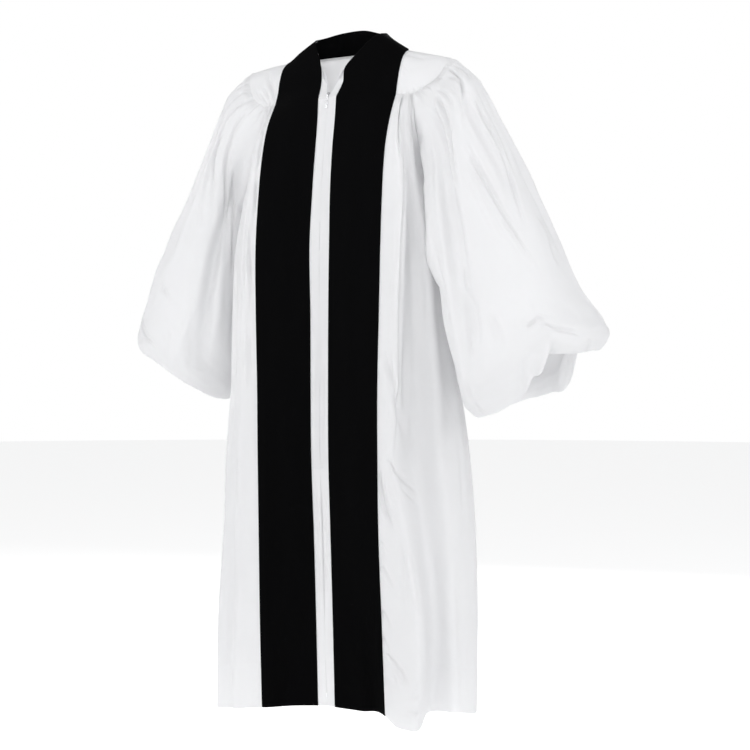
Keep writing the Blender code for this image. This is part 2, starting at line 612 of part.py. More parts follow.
TAPE_ROWS = [(ZIP_END_Z, 0)] + [(z, 0) for z in reversed(FRONT_ROWS) if z > ZIP_END_Z] + [(0, 0.5), (0, 1), (0, 1.5), (0, 2)]
for side in (1, -1):
    grid = []
    for z, row in TAPE_ROWS:
        shown = 0.004 * min(row, 1.0)
        grid.append([tape_point(side, d, z, row) for d in (-shown, 0.006, TAPE_WIDTH)])
    grid = trim(lifted(grid, -(CLOTH + 2 * LIFT), side < 0), left=SEAM / 2 + 0.0001)
    wall(f"zip_tape_{side_name(side)}", grid, TAPE, tape_white, side < 0)


# The slider and its pull, in the slider's own directions: x across, up along the zip, out from the cloth.
def block(name, low, high, place):
    mesh = bpy.data.meshes.new(name)
    shape = bmesh.new()
    bmesh.ops.create_cube(shape, size=1.0)
    size = Vector(high) - Vector(low)
    bmesh.ops.transform(shape, matrix=Matrix.Translation((Vector(high) + Vector(low)) / 2) @ Matrix.Diagonal((*size, 1.0)), verts=shape.verts)
    shape.to_mesh(mesh)
    shape.free()
    thing = bpy.data.objects.new(name, mesh)
    place.objects.link(thing)
    return thing


def cylinder(name, radius, length, middle, place, sides=16):
    """A cylinder along x."""
    mesh = bpy.data.meshes.new(name)
    shape = bmesh.new()
    bmesh.ops.create_cone(shape, cap_ends=True, segments=sides, radius1=radius, radius2=radius, depth=length)
    bmesh.ops.transform(shape, matrix=Matrix.Translation(middle) @ Matrix.Rotation(math.pi / 2, 4, "Y"), verts=shape.verts)
    shape.to_mesh(mesh)
    shape.free()
    thing = bpy.data.objects.new(name, mesh)
    place.objects.link(thing)
    return thing


def joined(body, others, operation="UNION"):
    for other in others:
        step = body.modifiers.new(other.name, "BOOLEAN")
        step.operation = operation
        step.object = other
        other.parent = body
        other.hide_render = True
        other.display_type = "WIRE"


slider_at = yoke(1, 0.0, 0.25)
slider_at.x = 0.0
slider_up = yoke(1, 0.0, 0.6) - yoke(1, 0.0, 0.05)
slider_up.x = 0.0
slider_up.normalize()
slider_out = Vector((1, 0, 0)).cross(slider_up)
slider_frame = Matrix((Vector((1, 0, 0)), slider_up, slider_out)).transposed().to_4x4()
slider_frame.translation = slider_at

PIN_UP, PIN_OUT, PIN_RADIUS, BARREL_RADIUS = -0.0010, 0.0038, 0.0006, 0.0016
slider = block("zip_slider", (-0.0040, -0.0035, 0.0007), (0.0040, 0.0045, 0.0017), robe)
slider.data.materials.append(metal)
joined(
    slider,
    [
        block("slider_post", (-0.0009, 0.0024, -0.0040), (0.0009, 0.0042, 0.0008), cutters),
        block("slider_back", (-0.0036, -0.0035, -0.0050), (0.0036, 0.0045, -0.0038), cutters),
        block("slider_ear_left", (0.0015, PIN_UP - 0.0015, 0.0012), (0.0025, PIN_UP + 0.0022, PIN_OUT + 0.0014), cutters),
        block("slider_ear_right", (-0.0025, PIN_UP - 0.0015, 0.0012), (-0.0015, PIN_UP + 0.0022, PIN_OUT + 0.0014), cutters),
        cylinder("slider_pin", PIN_RADIUS, 0.0040, (0, PIN_UP, PIN_OUT), cutters, 12),
    ],
)
slider.matrix_world = slider_frame

# The pull hangs from the pin and lies on the cloth below it.
pin = slider_frame @ Vector((0, PIN_UP, PIN_OUT))
lean = max(math.atan2((pin.y - front(1, 0.0, YOKE_Z - d).y) + 0.0010, pin.z - YOKE_Z + d) for d in between(0.0, 0.024, 12))
pull = block("zip_pull", (-0.0011, -0.0005, -0.0060), (0.0011, 0.0005, -0.0012), robe)
pull.data.materials.append(metal)
joined(
    pull,
    [
        cylinder("pull_barrel", BARREL_RADIUS, 0.0024, (0, 0, 0), cutters),
        block("pull_tab", (-PULL_WIDTH / 2, -0.0005, -PULL_LENGTH), (PULL_WIDTH / 2, 0.0005, -0.0050), cutters),
    ],
)
joined(pull, [cylinder("pull_bore", PIN_RADIUS + 0.00035, 0.0060, (0, 0, 0), cutters, 12)], "DIFFERENCE")
pull.location = pin
pull.rotation_euler = (-lean, 0.0, 0.0)
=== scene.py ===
"""Looks of the pulpit robe: fine cloth shells with their folds, gathers and hems, velvet with rolled edges, the zip, and soft studio light.

Metres, +Z up. The front faces -Y and the wearer's left is +X.
"""

import math

import bmesh
import bpy
import numpy as np
from mathutils import Matrix, Vector


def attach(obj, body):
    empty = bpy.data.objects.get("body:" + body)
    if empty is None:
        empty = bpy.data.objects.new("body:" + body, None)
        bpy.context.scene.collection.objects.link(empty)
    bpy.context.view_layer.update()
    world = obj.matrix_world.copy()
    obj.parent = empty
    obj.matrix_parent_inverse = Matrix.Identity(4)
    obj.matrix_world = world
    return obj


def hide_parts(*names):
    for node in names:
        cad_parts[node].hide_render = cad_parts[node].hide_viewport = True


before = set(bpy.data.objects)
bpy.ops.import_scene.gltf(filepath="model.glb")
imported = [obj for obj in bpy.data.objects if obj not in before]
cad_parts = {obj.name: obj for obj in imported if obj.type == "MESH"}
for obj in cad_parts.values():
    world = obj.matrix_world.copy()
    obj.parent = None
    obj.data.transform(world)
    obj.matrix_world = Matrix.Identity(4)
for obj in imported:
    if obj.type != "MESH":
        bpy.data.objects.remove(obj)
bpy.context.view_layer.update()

# ---- camera: level, 30 degrees to the wearer's left of the front ----
AZIMUTH = math.radians(30)
DISTANCE = 3.5
EYE_Z = -0.645
camera_data = bpy.data.cameras.new("camera")
camera_data.sensor_width = 36.0
camera_data.lens = 36.0 * 1643 / 750
camera_data.shift_x = 27 / 750
camera_data.shift_y = -16 / 750
camera_data.clip_start, camera_data.clip_end = 0.05, 60.0
camera = bpy.data.objects.new("camera", camera_data)
bpy.context.scene.collection.objects.link(camera)
camera.location = (DISTANCE * math.sin(AZIMUTH), -DISTANCE * math.cos(AZIMUTH), EYE_Z)
camera.rotation_euler = (math.pi / 2, 0.0, AZIMUTH)
bpy.context.scene.camera = camera

# ---- sizes of the robe, as built ----
CLOTH = 0.0015
VELVET = 0.002
LIFT = 0.00045
BAND_LIFT = 0.0015
YOKE_Z = -0.10
BACK_YOKE_Z = -0.145
UNDERARM_Z = -0.30
HEM_Z = -1.37
ZIP_END_Z = -0.87
TAPE_WIDTH = 0.013
RIGHT_SHOULDER_UP = 0.010
PULL_LENGTH = 0.030
PULL_WIDTH = 0.0042
HEM_DEPTH = 0.093  # the turned hem, from its edge to its stitching
SHELL = 0.0008  # wall of a fine white shell

FRONT_LINES = {"centre": 0.0, "strip": 0.0205, "mid": 0.0845, "edge": 0.1485, "flat": 0.170, "crest": 0.192, "valley": 0.245, "side": 0.295, "seam": 0.365}
LINE_NAMES = list(FRONT_LINES)
KNOTS = [FRONT_LINES[name] for name in LINE_NAMES]

STRIP = [
    # z, centre_y, strip_x, mid_y
    (-0.10, -0.0860, 0.0215, -0.0800),
    (-0.145, -0.0905, 0.0210, -0.0940),
    (-0.20, -0.0990, 0.0205, -0.1070),
    (-0.26, -0.1070, 0.0210, -0.1155),
    (-0.30, -0.1110, 0.0215, -0.1195),
    (-0.40, -0.1180, 0.0235, -0.1270),
    (-0.55, -0.1180, 0.0215, -0.1275),
    (-0.69, -0.1180, 0.0210, -0.1270),
    (-0.85, -0.1160, 0.0205, -0.1250),
    (-1.00, -0.1070, 0.0200, -0.1180),
    (-1.18, -0.0975, 0.0200, -0.1080),
    (-1.37, -0.0890, 0.0200, -0.0975),
]
FRONT_LEFT = [
    # z, edge_x, edge_y, flat_x, flat_y, crest_x, crest_y, valley_x, valley_y, side_x, side_y
    (-0.10, 0.1465, -0.056, 0.152, -0.0550, 0.158, -0.0535, 0.166, -0.051, 0.175, -0.0490),
    (-0.145, 0.148, -0.082, 0.156, -0.0820, 0.165, -0.0810, 0.174, -0.069, 0.181, -0.0600),
    (-0.20, 0.148, -0.102, 0.161, -0.1035, 0.174, -0.1040, 0.184, -0.084, 0.192, -0.0700),
    (-0.26, 0.1485, -0.114, 0.167, -0.1165, 0.184, -0.1180, 0.193, -0.091, 0.202, -0.0745),
    (-0.30, 0.149, -0.119, 0.170, -0.1220, 0.189, -0.1240, 0.197, -0.093, 0.212, -0.0740),
    (-0.40, 0.150, -0.128, 0.172, -0.1305, 0.1925, -0.1320, 0.200, -0.093, 0.226, -0.0740),
    (-0.55, 0.148, -0.131, 0.169, -0.1335, 0.189, -0.1340, 0.200, -0.087, 0.237, -0.0730),
    (-0.69, 0.145, -0.132, 0.166, -0.1330, 0.185, -0.1320, 0.201, -0.079, 0.246, -0.0690),
    (-0.85, 0.144, -0.130, 0.161, -0.1325, 0.178, -0.1320, 0.199, -0.075, 0.254, -0.0610),
    (-1.00, 0.143, -0.124, 0.173, -0.1270, 0.204, -0.1300, 0.213, -0.062, 0.260, -0.0430),
    (-1.18, 0.142, -0.108, 0.185, -0.1220, 0.231, -0.1310, 0.226, -0.050, 0.266, -0.0350),
    (-1.37, 0.140, -0.090, 0.183, -0.1240, 0.229, -0.1330, 0.214, -0.036, 0.262, -0.0220),
]
FRONT_RIGHT = [
    # z, edge_x, edge_y, flat_x, flat_y, crest_x, crest_y, valley_x, valley_y, side_x, side_y
    (-0.10, 0.1465, -0.056, 0.152, -0.0550, 0.158, -0.0535, 0.166, -0.051, 0.175, -0.0490),
    (-0.145, 0.148, -0.082, 0.154, -0.0800, 0.162, -0.0780, 0.171, -0.070, 0.180, -0.0620),
    (-0.20, 0.148, -0.102, 0.156, -0.0990, 0.167, -0.0985, 0.182, -0.086, 0.194, -0.0750),
    (-0.26, 0.1485, -0.114, 0.158, -0.1105, 0.171, -0.1110, 0.190, -0.095, 0.200, -0.0820),
    (-0.30, 0.149, -0.119, 0.160, -0.1150, 0.173, -0.1160, 0.195, -0.100, 0.209, -0.0850),
    (-0.40, 0.150, -0.128, 0.163, -0.1240, 0.177, -0.1250, 0.206, -0.107, 0.229, -0.0860),
    (-0.55, 0.148, -0.131, 0.165, -0.1280, 0.181, -0.1300, 0.210, -0.112, 0.237, -0.0870),
    (-0.69, 0.145, -0.131, 0.166, -0.1280, 0.184, -0.1300, 0.211, -0.112, 0.240, -0.0880),
    (-0.85, 0.144, -0.130, 0.167, -0.1275, 0.187, -0.1285, 0.214, -0.112, 0.252, -0.0900),
    (-1.00, 0.143, -0.128, 0.168, -0.1260, 0.189, -0.1265, 0.219, -0.111, 0.260, -0.0900),
    (-1.18, 0.142, -0.125, 0.167, -0.1230, 0.190, -0.1235, 0.225, -0.109, 0.270, -0.0900),
    (-1.37, 0.140, -0.120, 0.166, -0.1180, 0.190, -0.1195, 0.230, -0.108, 0.276, -0.0910),
]
SEAMS = [
    # z, left_x, left_y, right_x, right_y, back_y
    (-0.30, 0.216, 0.000, 0.216, 0.000, 0.112),
    (-0.40, 0.225, 0.006, 0.225, 0.004, 0.118),
    (-0.55, 0.236, 0.015, 0.239, 0.010, 0.124),
    (-0.69, 0.248, 0.024, 0.250, 0.014, 0.130),
    (-0.85, 0.270, 0.028, 0.264, 0.017, 0.136),
    (-1.00, 0.280, 0.034, 0.272, 0.019, 0.143),
    (-1.18, 0.283, 0.040, 0.281, 0.021, 0.152),
    (-1.37, 0.277, 0.045, 0.287, 0.022, 0.163),
]
BACK_TOP_Y = [(-0.145, 0.097), (-0.20, 0.103), (-0.26, 0.109), (-0.30, 0.112)]
ARMHOLE = [
    # turn, x, y, z
    (0.00, 0.245, 0.000, -0.026),
    (0.05, 0.239, -0.014, -0.041),
    (0.10, 0.231, -0.026, -0.064),
    (0.15, 0.217, -0.036, -0.079),
    (0.20, 0.200, -0.044, -0.090),
    (0.25, 0.183, -0.047, -0.100),
    (0.31, 0.186, -0.051, -0.145),
    (0.38, 0.194, -0.048, -0.200),
    (0.44, 0.206, -0.030, -0.260),
    (0.50, 0.216, 0.000, -0.300),
    (0.56, 0.207, 0.036, -0.260),
    (0.62, 0.197, 0.062, -0.200),
    (0.69, 0.193, 0.068, -0.145),
    (0.75, 0.196, 0.062, -0.100),
    (0.81, 0.203, 0.048, -0.070),
    (0.87, 0.215, 0.033, -0.049),
    (0.94, 0.233, 0.015, -0.033),
    (1.00, 0.245, 0.000, -0.026),
]
YOKE = [
    # row, vee_x, a_x, a_y, a_z, b_x, b_y, b_z, turn
    (1, 0.0115, 0.0260, -0.0665, -0.068, 0.1455, -0.048, -0.076, 0.20),
    (2, 0.0265, 0.0290, -0.0610, -0.036, 0.1460, -0.040, -0.048, 0.15),
    (3, 0.0500, 0.0510, -0.0390, 0.000, 0.1460, -0.028, -0.023, 0.10),
    (4, 0.0690, 0.0700, -0.0210, 0.027, 0.1450, -0.012, -0.008, 0.05),
    (5, 0.0770, 0.0780, 0.0000, 0.039, 0.1430, 0.005, 0.000, 0.00),
]
BAND = [
    # part, a_x, a_y, left a_z, right a_z, b_x, b_y, b_z
    (0.0, 0.0000, 0.0680, 0.0660, 0.066, 0.0000, 0.0860, 0.012),
    (0.35, 0.0450, 0.0600, 0.0530, 0.063, 0.0670, 0.0760, 0.010),
    (0.7, 0.0750, 0.0290, 0.0450, 0.048, 0.1180, 0.0420, 0.003),
    (1.0, 0.0780, 0.0000, 0.0390, 0.039, 0.1430, 0.0050, 0.000),
]
SLEEVE_LEFT = [
    # ring, out_x, out_z, in_x, in_z, mid_y, depth, square, front_drop, back_drop
    (1, 0.299, -0.066, 0.229, -0.322, -0.006, 0.080, 2.2, 0.000, 0.000),
    (2, 0.345, -0.146, 0.240, -0.375, -0.012, 0.101, 2.4, 0.000, 0.000),
    (3, 0.408, -0.262, 0.249, -0.445, -0.015, 0.116, 2.6, 0.004, 0.000),
    (4, 0.462, -0.378, 0.258, -0.515, -0.015, 0.121, 2.7, 0.010, 0.004),
    (5, 0.511, -0.484, 0.270, -0.590, -0.012, 0.124, 2.6, 0.020, 0.010),
    (6, 0.560, -0.552, 0.284, -0.665, -0.010, 0.127, 2.6, 0.029, 0.018),
    (7, 0.579, -0.592, 0.300, -0.722, -0.010, 0.124, 2.5, 0.035, 0.023),
    (8, 0.563, -0.624, 0.324, -0.748, -0.010, 0.110, 2.4, 0.035, 0.027),
    (9, 0.534, -0.616, 0.348, -0.730, -0.010, 0.094, 2.3, 0.032, 0.027),
    (10, 0.519, -0.588, 0.358, -0.697, -0.010, 0.086, 2.3, 0.028, 0.025),
]
SLEEVE_RIGHT = [
    # ring, out_x, out_z, in_x, in_z, mid_y, depth, square, front_drop, back_drop
    (1, 0.288, -0.050, 0.229, -0.322, 0.008, 0.073, 2.2, 0.000, 0.000),
    (2, 0.325, -0.138, 0.240, -0.375, 0.007, 0.093, 2.2, 0.000, 0.000),
    (3, 0.375, -0.249, 0.249, -0.445, 0.003, 0.106, 2.2, 0.004, 0.000),
    (4, 0.425, -0.347, 0.258, -0.515, -0.003, 0.112, 2.2, 0.008, 0.004),
    (5, 0.468, -0.446, 0.270, -0.590, -0.006, 0.117, 2.3, 0.010, 0.008),
    (6, 0.502, -0.525, 0.284, -0.655, -0.006, 0.119, 2.2, 0.012, 0.012),
    (7, 0.519, -0.580, 0.300, -0.705, -0.006, 0.116, 2.2, 0.012, 0.014),
    (8, 0.508, -0.610, 0.322, -0.728, -0.006, 0.105, 2.2, 0.012, 0.014),
    (9, 0.482, -0.602, 0.344, -0.712, -0.006, 0.092, 2.2, 0.010, 0.014),
    (10, 0.468, -0.576, 0.354, -0.680, -0.006, 0.084, 2.2, 0.010, 0.012),
]
SLEEVE_FOLDS = {
    1: [
        # turn, turn_end, half_width, depth, ring, ring_end
        (0.250, 0.330, 0.045, -0.013, 0.4, 7.0),
        (0.120, 0.075, 0.040, -0.008, 0.3, 3.5),
        (0.370, 0.420, 0.110, 0.022, 0.3, 3.8),
        (0.620, 0.600, 0.055, -0.011, 0.5, 6.5),
        (0.800, 0.740, 0.055, -0.012, 0.4, 7.5),
        (0.890, 0.900, 0.045, -0.008, 0.6, 5.0),
    ],
    -1: [
        # turn, turn_end, half_width, depth, ring, ring_end
        (0.330, 0.370, 0.045, -0.016, 0.6, 6.6),
        (0.210, 0.230, 0.050, -0.007, 0.4, 5.0),
        (0.130, 0.150, 0.050, -0.007, 0.5, 5.0),
        (0.640, 0.610, 0.055, -0.010, 0.5, 6.0),
        (0.780, 0.800, 0.055, -0.012, 0.4, 7.0),
        (0.900, 0.880, 0.050, -0.008, 0.6, 4.5),
    ],
}
# How far a sleeve's end is drawn up round its hem: the lobes and the notch that the photo shows.
HEM_RISE = {
    1: [
        # turn, rise
        (0.00, 0.000), (0.05, 0.008), (0.08, 0.017), (0.12, 0.032), (0.15, 0.044), (0.172, 0.054), (0.190, 0.023),
        (0.215, 0.021), (0.232, 0.000), (0.25, -0.004), (0.29, -0.006), (0.35, -0.002), (0.42, 0.000), (0.50, 0.000),
        (0.56, 0.010), (0.62, 0.018), (0.66, 0.019), (0.70, 0.013), (0.735, 0.008), (0.769, 0.008), (0.785, 0.056),
        (0.80, 0.066), (0.85, 0.046), (0.90, 0.028), (0.95, 0.012), (1.00, 0.000),
    ],
    -1: [
        # turn, rise
        (0.00, 0.000), (0.08, 0.002), (0.16, 0.010), (0.21, 0.020), (0.25, 0.024), (0.32, 0.020), (0.38, 0.013),
        (0.43, 0.006), (0.50, -0.004), (0.60, 0.000), (0.75, 0.012), (0.90, 0.004), (1.00, 0.000),
    ],
}
BACK_FOLDS = [
    # across, across_end, half_width, depth, z_top, z_end
    (-0.78, -0.80, 0.085, -0.016, -0.20, -1.45),
    (-0.55, -0.60, 0.080, -0.022, -0.17, -1.45),
    (-0.30, -0.34, 0.085, -0.017, -0.16, -1.45),
    (-0.06, -0.10, 0.090, -0.026, -0.155, -1.45),
    (0.20, 0.18, 0.085, -0.018, -0.16, -1.45),
    (0.43, 0.46, 0.080, -0.024, -0.165, -1.45),
    (0.68, 0.74, 0.085, -0.018, -0.18, -1.45),
]
HEM_DROP = {
    1: {"centre": 0.003, "strip": 0.002, "mid": -0.001, "edge": -0.004, "flat": -0.015, "crest": -0.017, "valley": 0.002, "side": 0.004, "seam": -0.009},
    -1: {"centre": 0.003, "strip": 0.001, "mid": -0.004, "edge": -0.010, "flat": -0.013, "crest": -0.017, "valley": -0.022, "side": -0.028, "seam": -0.026},
}


# ---- the robe's own surfaces, as built ----
def through(knots, points, s):
    """The smooth curve through points, each reached at its knot."""
    n = len(knots) - 1
    i = 0
    while i < n - 1 and s > knots[i + 1]:
        i += 1

    def slope(j):
        if j == 0:
            return (points[1] - points[0]) / (knots[1] - knots[0])
        if j == n:
            return (points[n] - points[n - 1]) / (knots[n] - knots[n - 1])
        before, after = knots[j] - knots[j - 1], knots[j + 1] - knots[j]
        return ((points[j] - points[j - 1]) / before * after + (points[j + 1] - points[j]) / after * before) / (before + after)

    h = knots[i + 1] - knots[i]
    u = (s - knots[i]) / h
    return (
        points[i] * (2 * u**3 - 3 * u * u + 1)
        + slope(i) * (h * (u**3 - 2 * u * u + u))
        + points[i + 1] * (3 * u * u - 2 * u**3)
        + slope(i + 1) * (h * (u**3 - u * u))
    )


def at_z(table, column, z):
    return through([-row[0] for row in table], [row[column] for row in table], -z)


def ease(x):
    x = min(max(x, 0.0), 1.0)
    return x * x * (3 - 2 * x)


def armhole(side, turn):
    rows = [Vector((side * x, y, z)) for _, x, y, z in ARMHOLE]
    point = through([row[0] for row in ARMHOLE], rows, turn % 1.0)
    if side < 0:
        point.z += RIGHT_SHOULDER_UP * max(0.0, math.cos(2 * math.pi * turn)) ** 2
    return point


def armhole_at_z(side, z, back=False):
    rows = [row for row in ARMHOLE if (row[0] >= 0.5) == back or row[0] == 0.5]
    rows = [row for row in rows if row[3] <= -0.099]
    rows.sort(key=lambda row: -row[3])
    knots = [-row[3] for row in rows]
    return through(knots, [Vector((side * row[1], row[2], row[3])) for row in rows], -z)


def seam_point(side, z, back=False):
    if z > UNDERARM_Z:
        return armhole_at_z(side, z, back)
    column = 1 if side > 0 else 3
    return Vector((side * at_z(SEAMS, column, z), at_z(SEAMS, column + 1, z), z))


def hem_ease(z):
    return ease((-z - 0.95) / (-HEM_Z - 0.95))


def front_line(side, name, z):
    if name in ("centre", "strip", "mid"):
        strip_x = at_z(STRIP, 2, z)
        table = FRONT_LEFT if side > 0 else FRONT_RIGHT
        edge_x, edge_y = at_z(table, 1, z), at_z(table, 2, z)
        lean = edge_y - at_z(FRONT_RIGHT, 2, z)
        x = {"centre": 0.0, "strip": strip_x, "mid": (strip_x + edge_x) / 2}[name]
        y = at_z(STRIP, 3, z) + 0.5 * lean if name == "mid" else at_z(STRIP, 1, z)
        point = Vector((side * x, y, z))
    elif name == "seam":
        point = seam_point(side, z)
    else:
        table = FRONT_LEFT if side > 0 else FRONT_RIGHT
        column = {"edge": 1, "flat": 3, "crest": 5, "valley": 7, "side": 9}[name]
        point = Vector((side * at_z(table, column, z), at_z(table, column + 1, z), z))
    point.z += HEM_DROP[side][name] * hem_ease(z)
    return point


def front(side, f, z):
    return through(KNOTS, [front_line(side, name, z) for name in LINE_NAMES], f)


def front_row(side, columns, z):
    lines = [front_line(side, name, z) for name in LINE_NAMES]
    return [through(KNOTS, lines, f) for f in columns]


def yoke_line(side, name, row):
    if row == 0:
        return front_line(side, name, YOKE_Z)
    _, vee_x, ax, ay, az, bx, by, bz, turn = YOKE[row - 1]
    a, b, c = Vector((side * ax, ay, az)), Vector((side * bx, by, bz)), armhole(side, turn)
    if name == "centre":
        return Vector((side * vee_x, ay - 0.25 * (ax - vee_x), az - 0.3 * (ax - vee_x)))
    if name == "strip":
        return a
    if name == "mid":
        return (a + b) / 2 + Vector((0, -0.003, 0.003)) * (1 - row / 7)
    share = {"edge": 0.0, "flat": 0.16, "crest": 0.32, "valley": 0.55, "side": 0.78, "seam": 1.0}[name]
    return b + (c - b) * share + Vector((0, -0.0012, 0.0012)) * math.sin(math.pi * share)


def yoke_row(side, columns, row):
    lines = [through([0, 1, 2, 3, 4, 5], [yoke_line(side, name, i) for i in range(6)], row) for name in LINE_NAMES]
    return [through(KNOTS, lines, f) for f in columns]


def yoke(side, f, row):
    return yoke_row(side, [f], row)[0]


def back_fold(v, z):
    total = 0.0
    for across, across_end, half_width, depth, z_top, z_end in BACK_FOLDS:
        down = (z_top - z) / (z_top - z_end)
        if down <= 0:
            continue
        middle = across + (across_end - across) * down
        reach = (v - middle) / half_width
        if abs(reach) < 1:
            total += depth * (0.35 + 0.65 * ease(down / 0.9)) * ease(down / 0.12) * math.cos(reach * math.pi / 2) ** 2
    return total


def back(v, z):
    side = 1 if v >= 0 else -1
    seam = seam_point(side, z, back=True)
    if z > UNDERARM_Z:
        middle_y = through([-row[0] for row in BACK_TOP_Y], [row[1] for row in BACK_TOP_Y], -z)
    else:
        middle_y = at_z(SEAMS, 5, z)
    angle = abs(v) * math.pi / 2
    x, y = abs(seam.x) * math.sin(angle), seam.y + (middle_y - seam.y) * math.cos(angle)
    out = Vector((x * (middle_y - seam.y), (y - seam.y) * abs(seam.x), 0)).normalized() if middle_y > seam.y else Vector((0, 1, 0))
    fold = back_fold(v, z)
    drop = (HEM_DROP[side]["seam"] * math.sin(angle) ** 2 - 0.018 * math.cos(angle) ** 2 + 0.2 * fold) * hem_ease(z)
    return Vector((side * (x + out.x * fold * 0.6), y + out.y * fold, z + drop))


def band(part, share):
    rows = [(-row[0], -row[1], row[2], row[4], -row[5], row[6], row[7]) for row in reversed(BAND[1:])]
    rows += [(row[0], row[1], row[2], row[3], row[5], row[6], row[7]) for row in BAND]
    knots = [row[0] for row in rows]
    a = through(knots, [Vector(row[1:4]) for row in rows], part)
    b = through(knots, [Vector(row[4:7]) for row in rows], part)
    return b + (a - b) * share


def yoke_back(v, q):
    side = 1 if v >= 0 else -1
    far = abs(v)
    if far <= 0.5:
        top = band(side * far * 2, 0.0)
        if q < 0:
            return band(side * far * 2, -q)
    else:
        b, tip = band(side, 0.0), armhole(side, 0.0)
        top = b + (tip - b) * (far - 0.5) * 2
        if q < 0:
            q = 0.0
    low = back(v, BACK_YOKE_Z)
    point = top + (low - top) * q
    bulge = (0.004 + 0.018 * ease(far / 0.5)) * (1 - ease((far - 0.7) / 0.3))
    point += Vector((0, 0.7, 0.7)) * (bulge * 4 * q * (1 - q))
    edge = armhole(side, 1.0 - 0.31 * q) if q > 0 else armhole(side, 0.0)
    straight = armhole(side, 0.0) + (armhole(side, 0.69) - armhole(side, 0.0)) * q
    return point + (edge - straight) * ease((far - 0.5) / 0.5) ** 2


def ring_point(side, turn, index):
    if index == 0:
        return armhole(side, turn)
    table = SLEEVE_LEFT if side > 0 else SLEEVE_RIGHT
    _, out_x, out_z, in_x, in_z, mid_y, depth, square, front_drop, back_drop = table[index - 1]
    c, s = math.cos(2 * math.pi * turn), math.sin(2 * math.pi * turn)
    along = math.copysign(abs(c) ** (2 / square), c)
    forward = math.copysign(abs(s) ** (2 / square), s)
    x = (out_x + in_x) / 2 + along * (out_x - in_x) / 2
    z = (out_z + in_z) / 2 + along * (out_z - in_z) / 2 - front_drop * max(0.0, forward) - back_drop * max(0.0, -forward)
    if index > 4:
        rows = HEM_RISE[side]
        rise = through([row[0] for row in rows], [row[1] for row in rows], turn % 1.0)
        z += rise * ease((index - 4.3) / 3.5) * (1 - 0.6 * ease((index - 8) / 2))
    return Vector((side * x, mid_y - depth * forward, z))


def sleeve_fold(side, turn, ring):
    total = 0.0
    for start, end, half_width, depth, ring_start, ring_end in SLEEVE_FOLDS[side]:
        down = (ring - ring_start) / (ring_end - ring_start)
        if not 0 < down < 1:
            continue
        reach = ((turn - start - (end - start) * down + 0.5) % 1.0 - 0.5) / half_width
        if abs(reach) < 1:
            total += depth * math.sin(math.pi * down) ** 0.6 * math.cos(reach * math.pi / 2) ** 2
    return total


# ---- grids, as arrays of points ----
def array_of(grid):
    return np.array([[tuple(p) for p in row] for row in grid], dtype=float)


def normals_of(points, closed, sign):
    """Which way each point of a grid faces."""
    if closed:
        across = np.roll(points, -1, axis=1) - np.roll(points, 1, axis=1)
    else:
        across = np.gradient(points, axis=1)
    down = np.gradient(points, axis=0)
    n = np.cross(across, down) * sign
    return n / np.maximum(np.linalg.norm(n, axis=2, keepdims=True), 1e-12)


def lengths_across(points):
    steps = np.linalg.norm(np.diff(points, axis=1), axis=2)
    return np.concatenate([np.zeros((len(points), 1)), np.cumsum(steps, axis=1)], axis=1)


def lengths_down(points):
    steps = np.linalg.norm(np.diff(points, axis=0), axis=2)
    return np.concatenate([np.zeros((1, points.shape[1])), np.cumsum(steps, axis=0)], axis=0)


def soft(x):
    x = np.clip(x, 0.0, 1.0)
    return x * x * (3 - 2 * x)


def uneven(a, b, step_a, step_b, seed):
    """Smooth unevenness from -1 to 1, with its own grain each way."""
    rng = np.random.default_rng(seed)
    u, v = a / step_a, b / step_b
    i, j = np.floor(u).astype(int), np.floor(v).astype(int)
    low_i, low_j = i.min(), j.min()
    lattice = rng.uniform(-1, 1, (i.max() - low_i + 2, j.max() - low_j + 2))
    fu, fv = soft(u - i), soft(v - j)
    i, j = i - low_i, j - low_j
    top = lattice[i, j] * (1 - fu) + lattice[i + 1, j] * fu
    low = lattice[i, j + 1] * (1 - fu) + lattice[i + 1, j + 1] * fu
    return top * (1 - fv) + low * fv


def rounded_path(path, count=20):
    """The points of a path, joined by a smooth curve."""
    if len(path) == 2:
        return np.array(path, dtype=float)
    points = [Vector((p[0], p[1])) for p in path]
    knots = [0.0]
    for p, q in zip(points, points[1:]):
        knots.append(knots[-1] + max((q - p).length, 1e-6))
    return np.array([tuple(through(knots, points, knots[-1] * k / count)) for k in range(count + 1)])


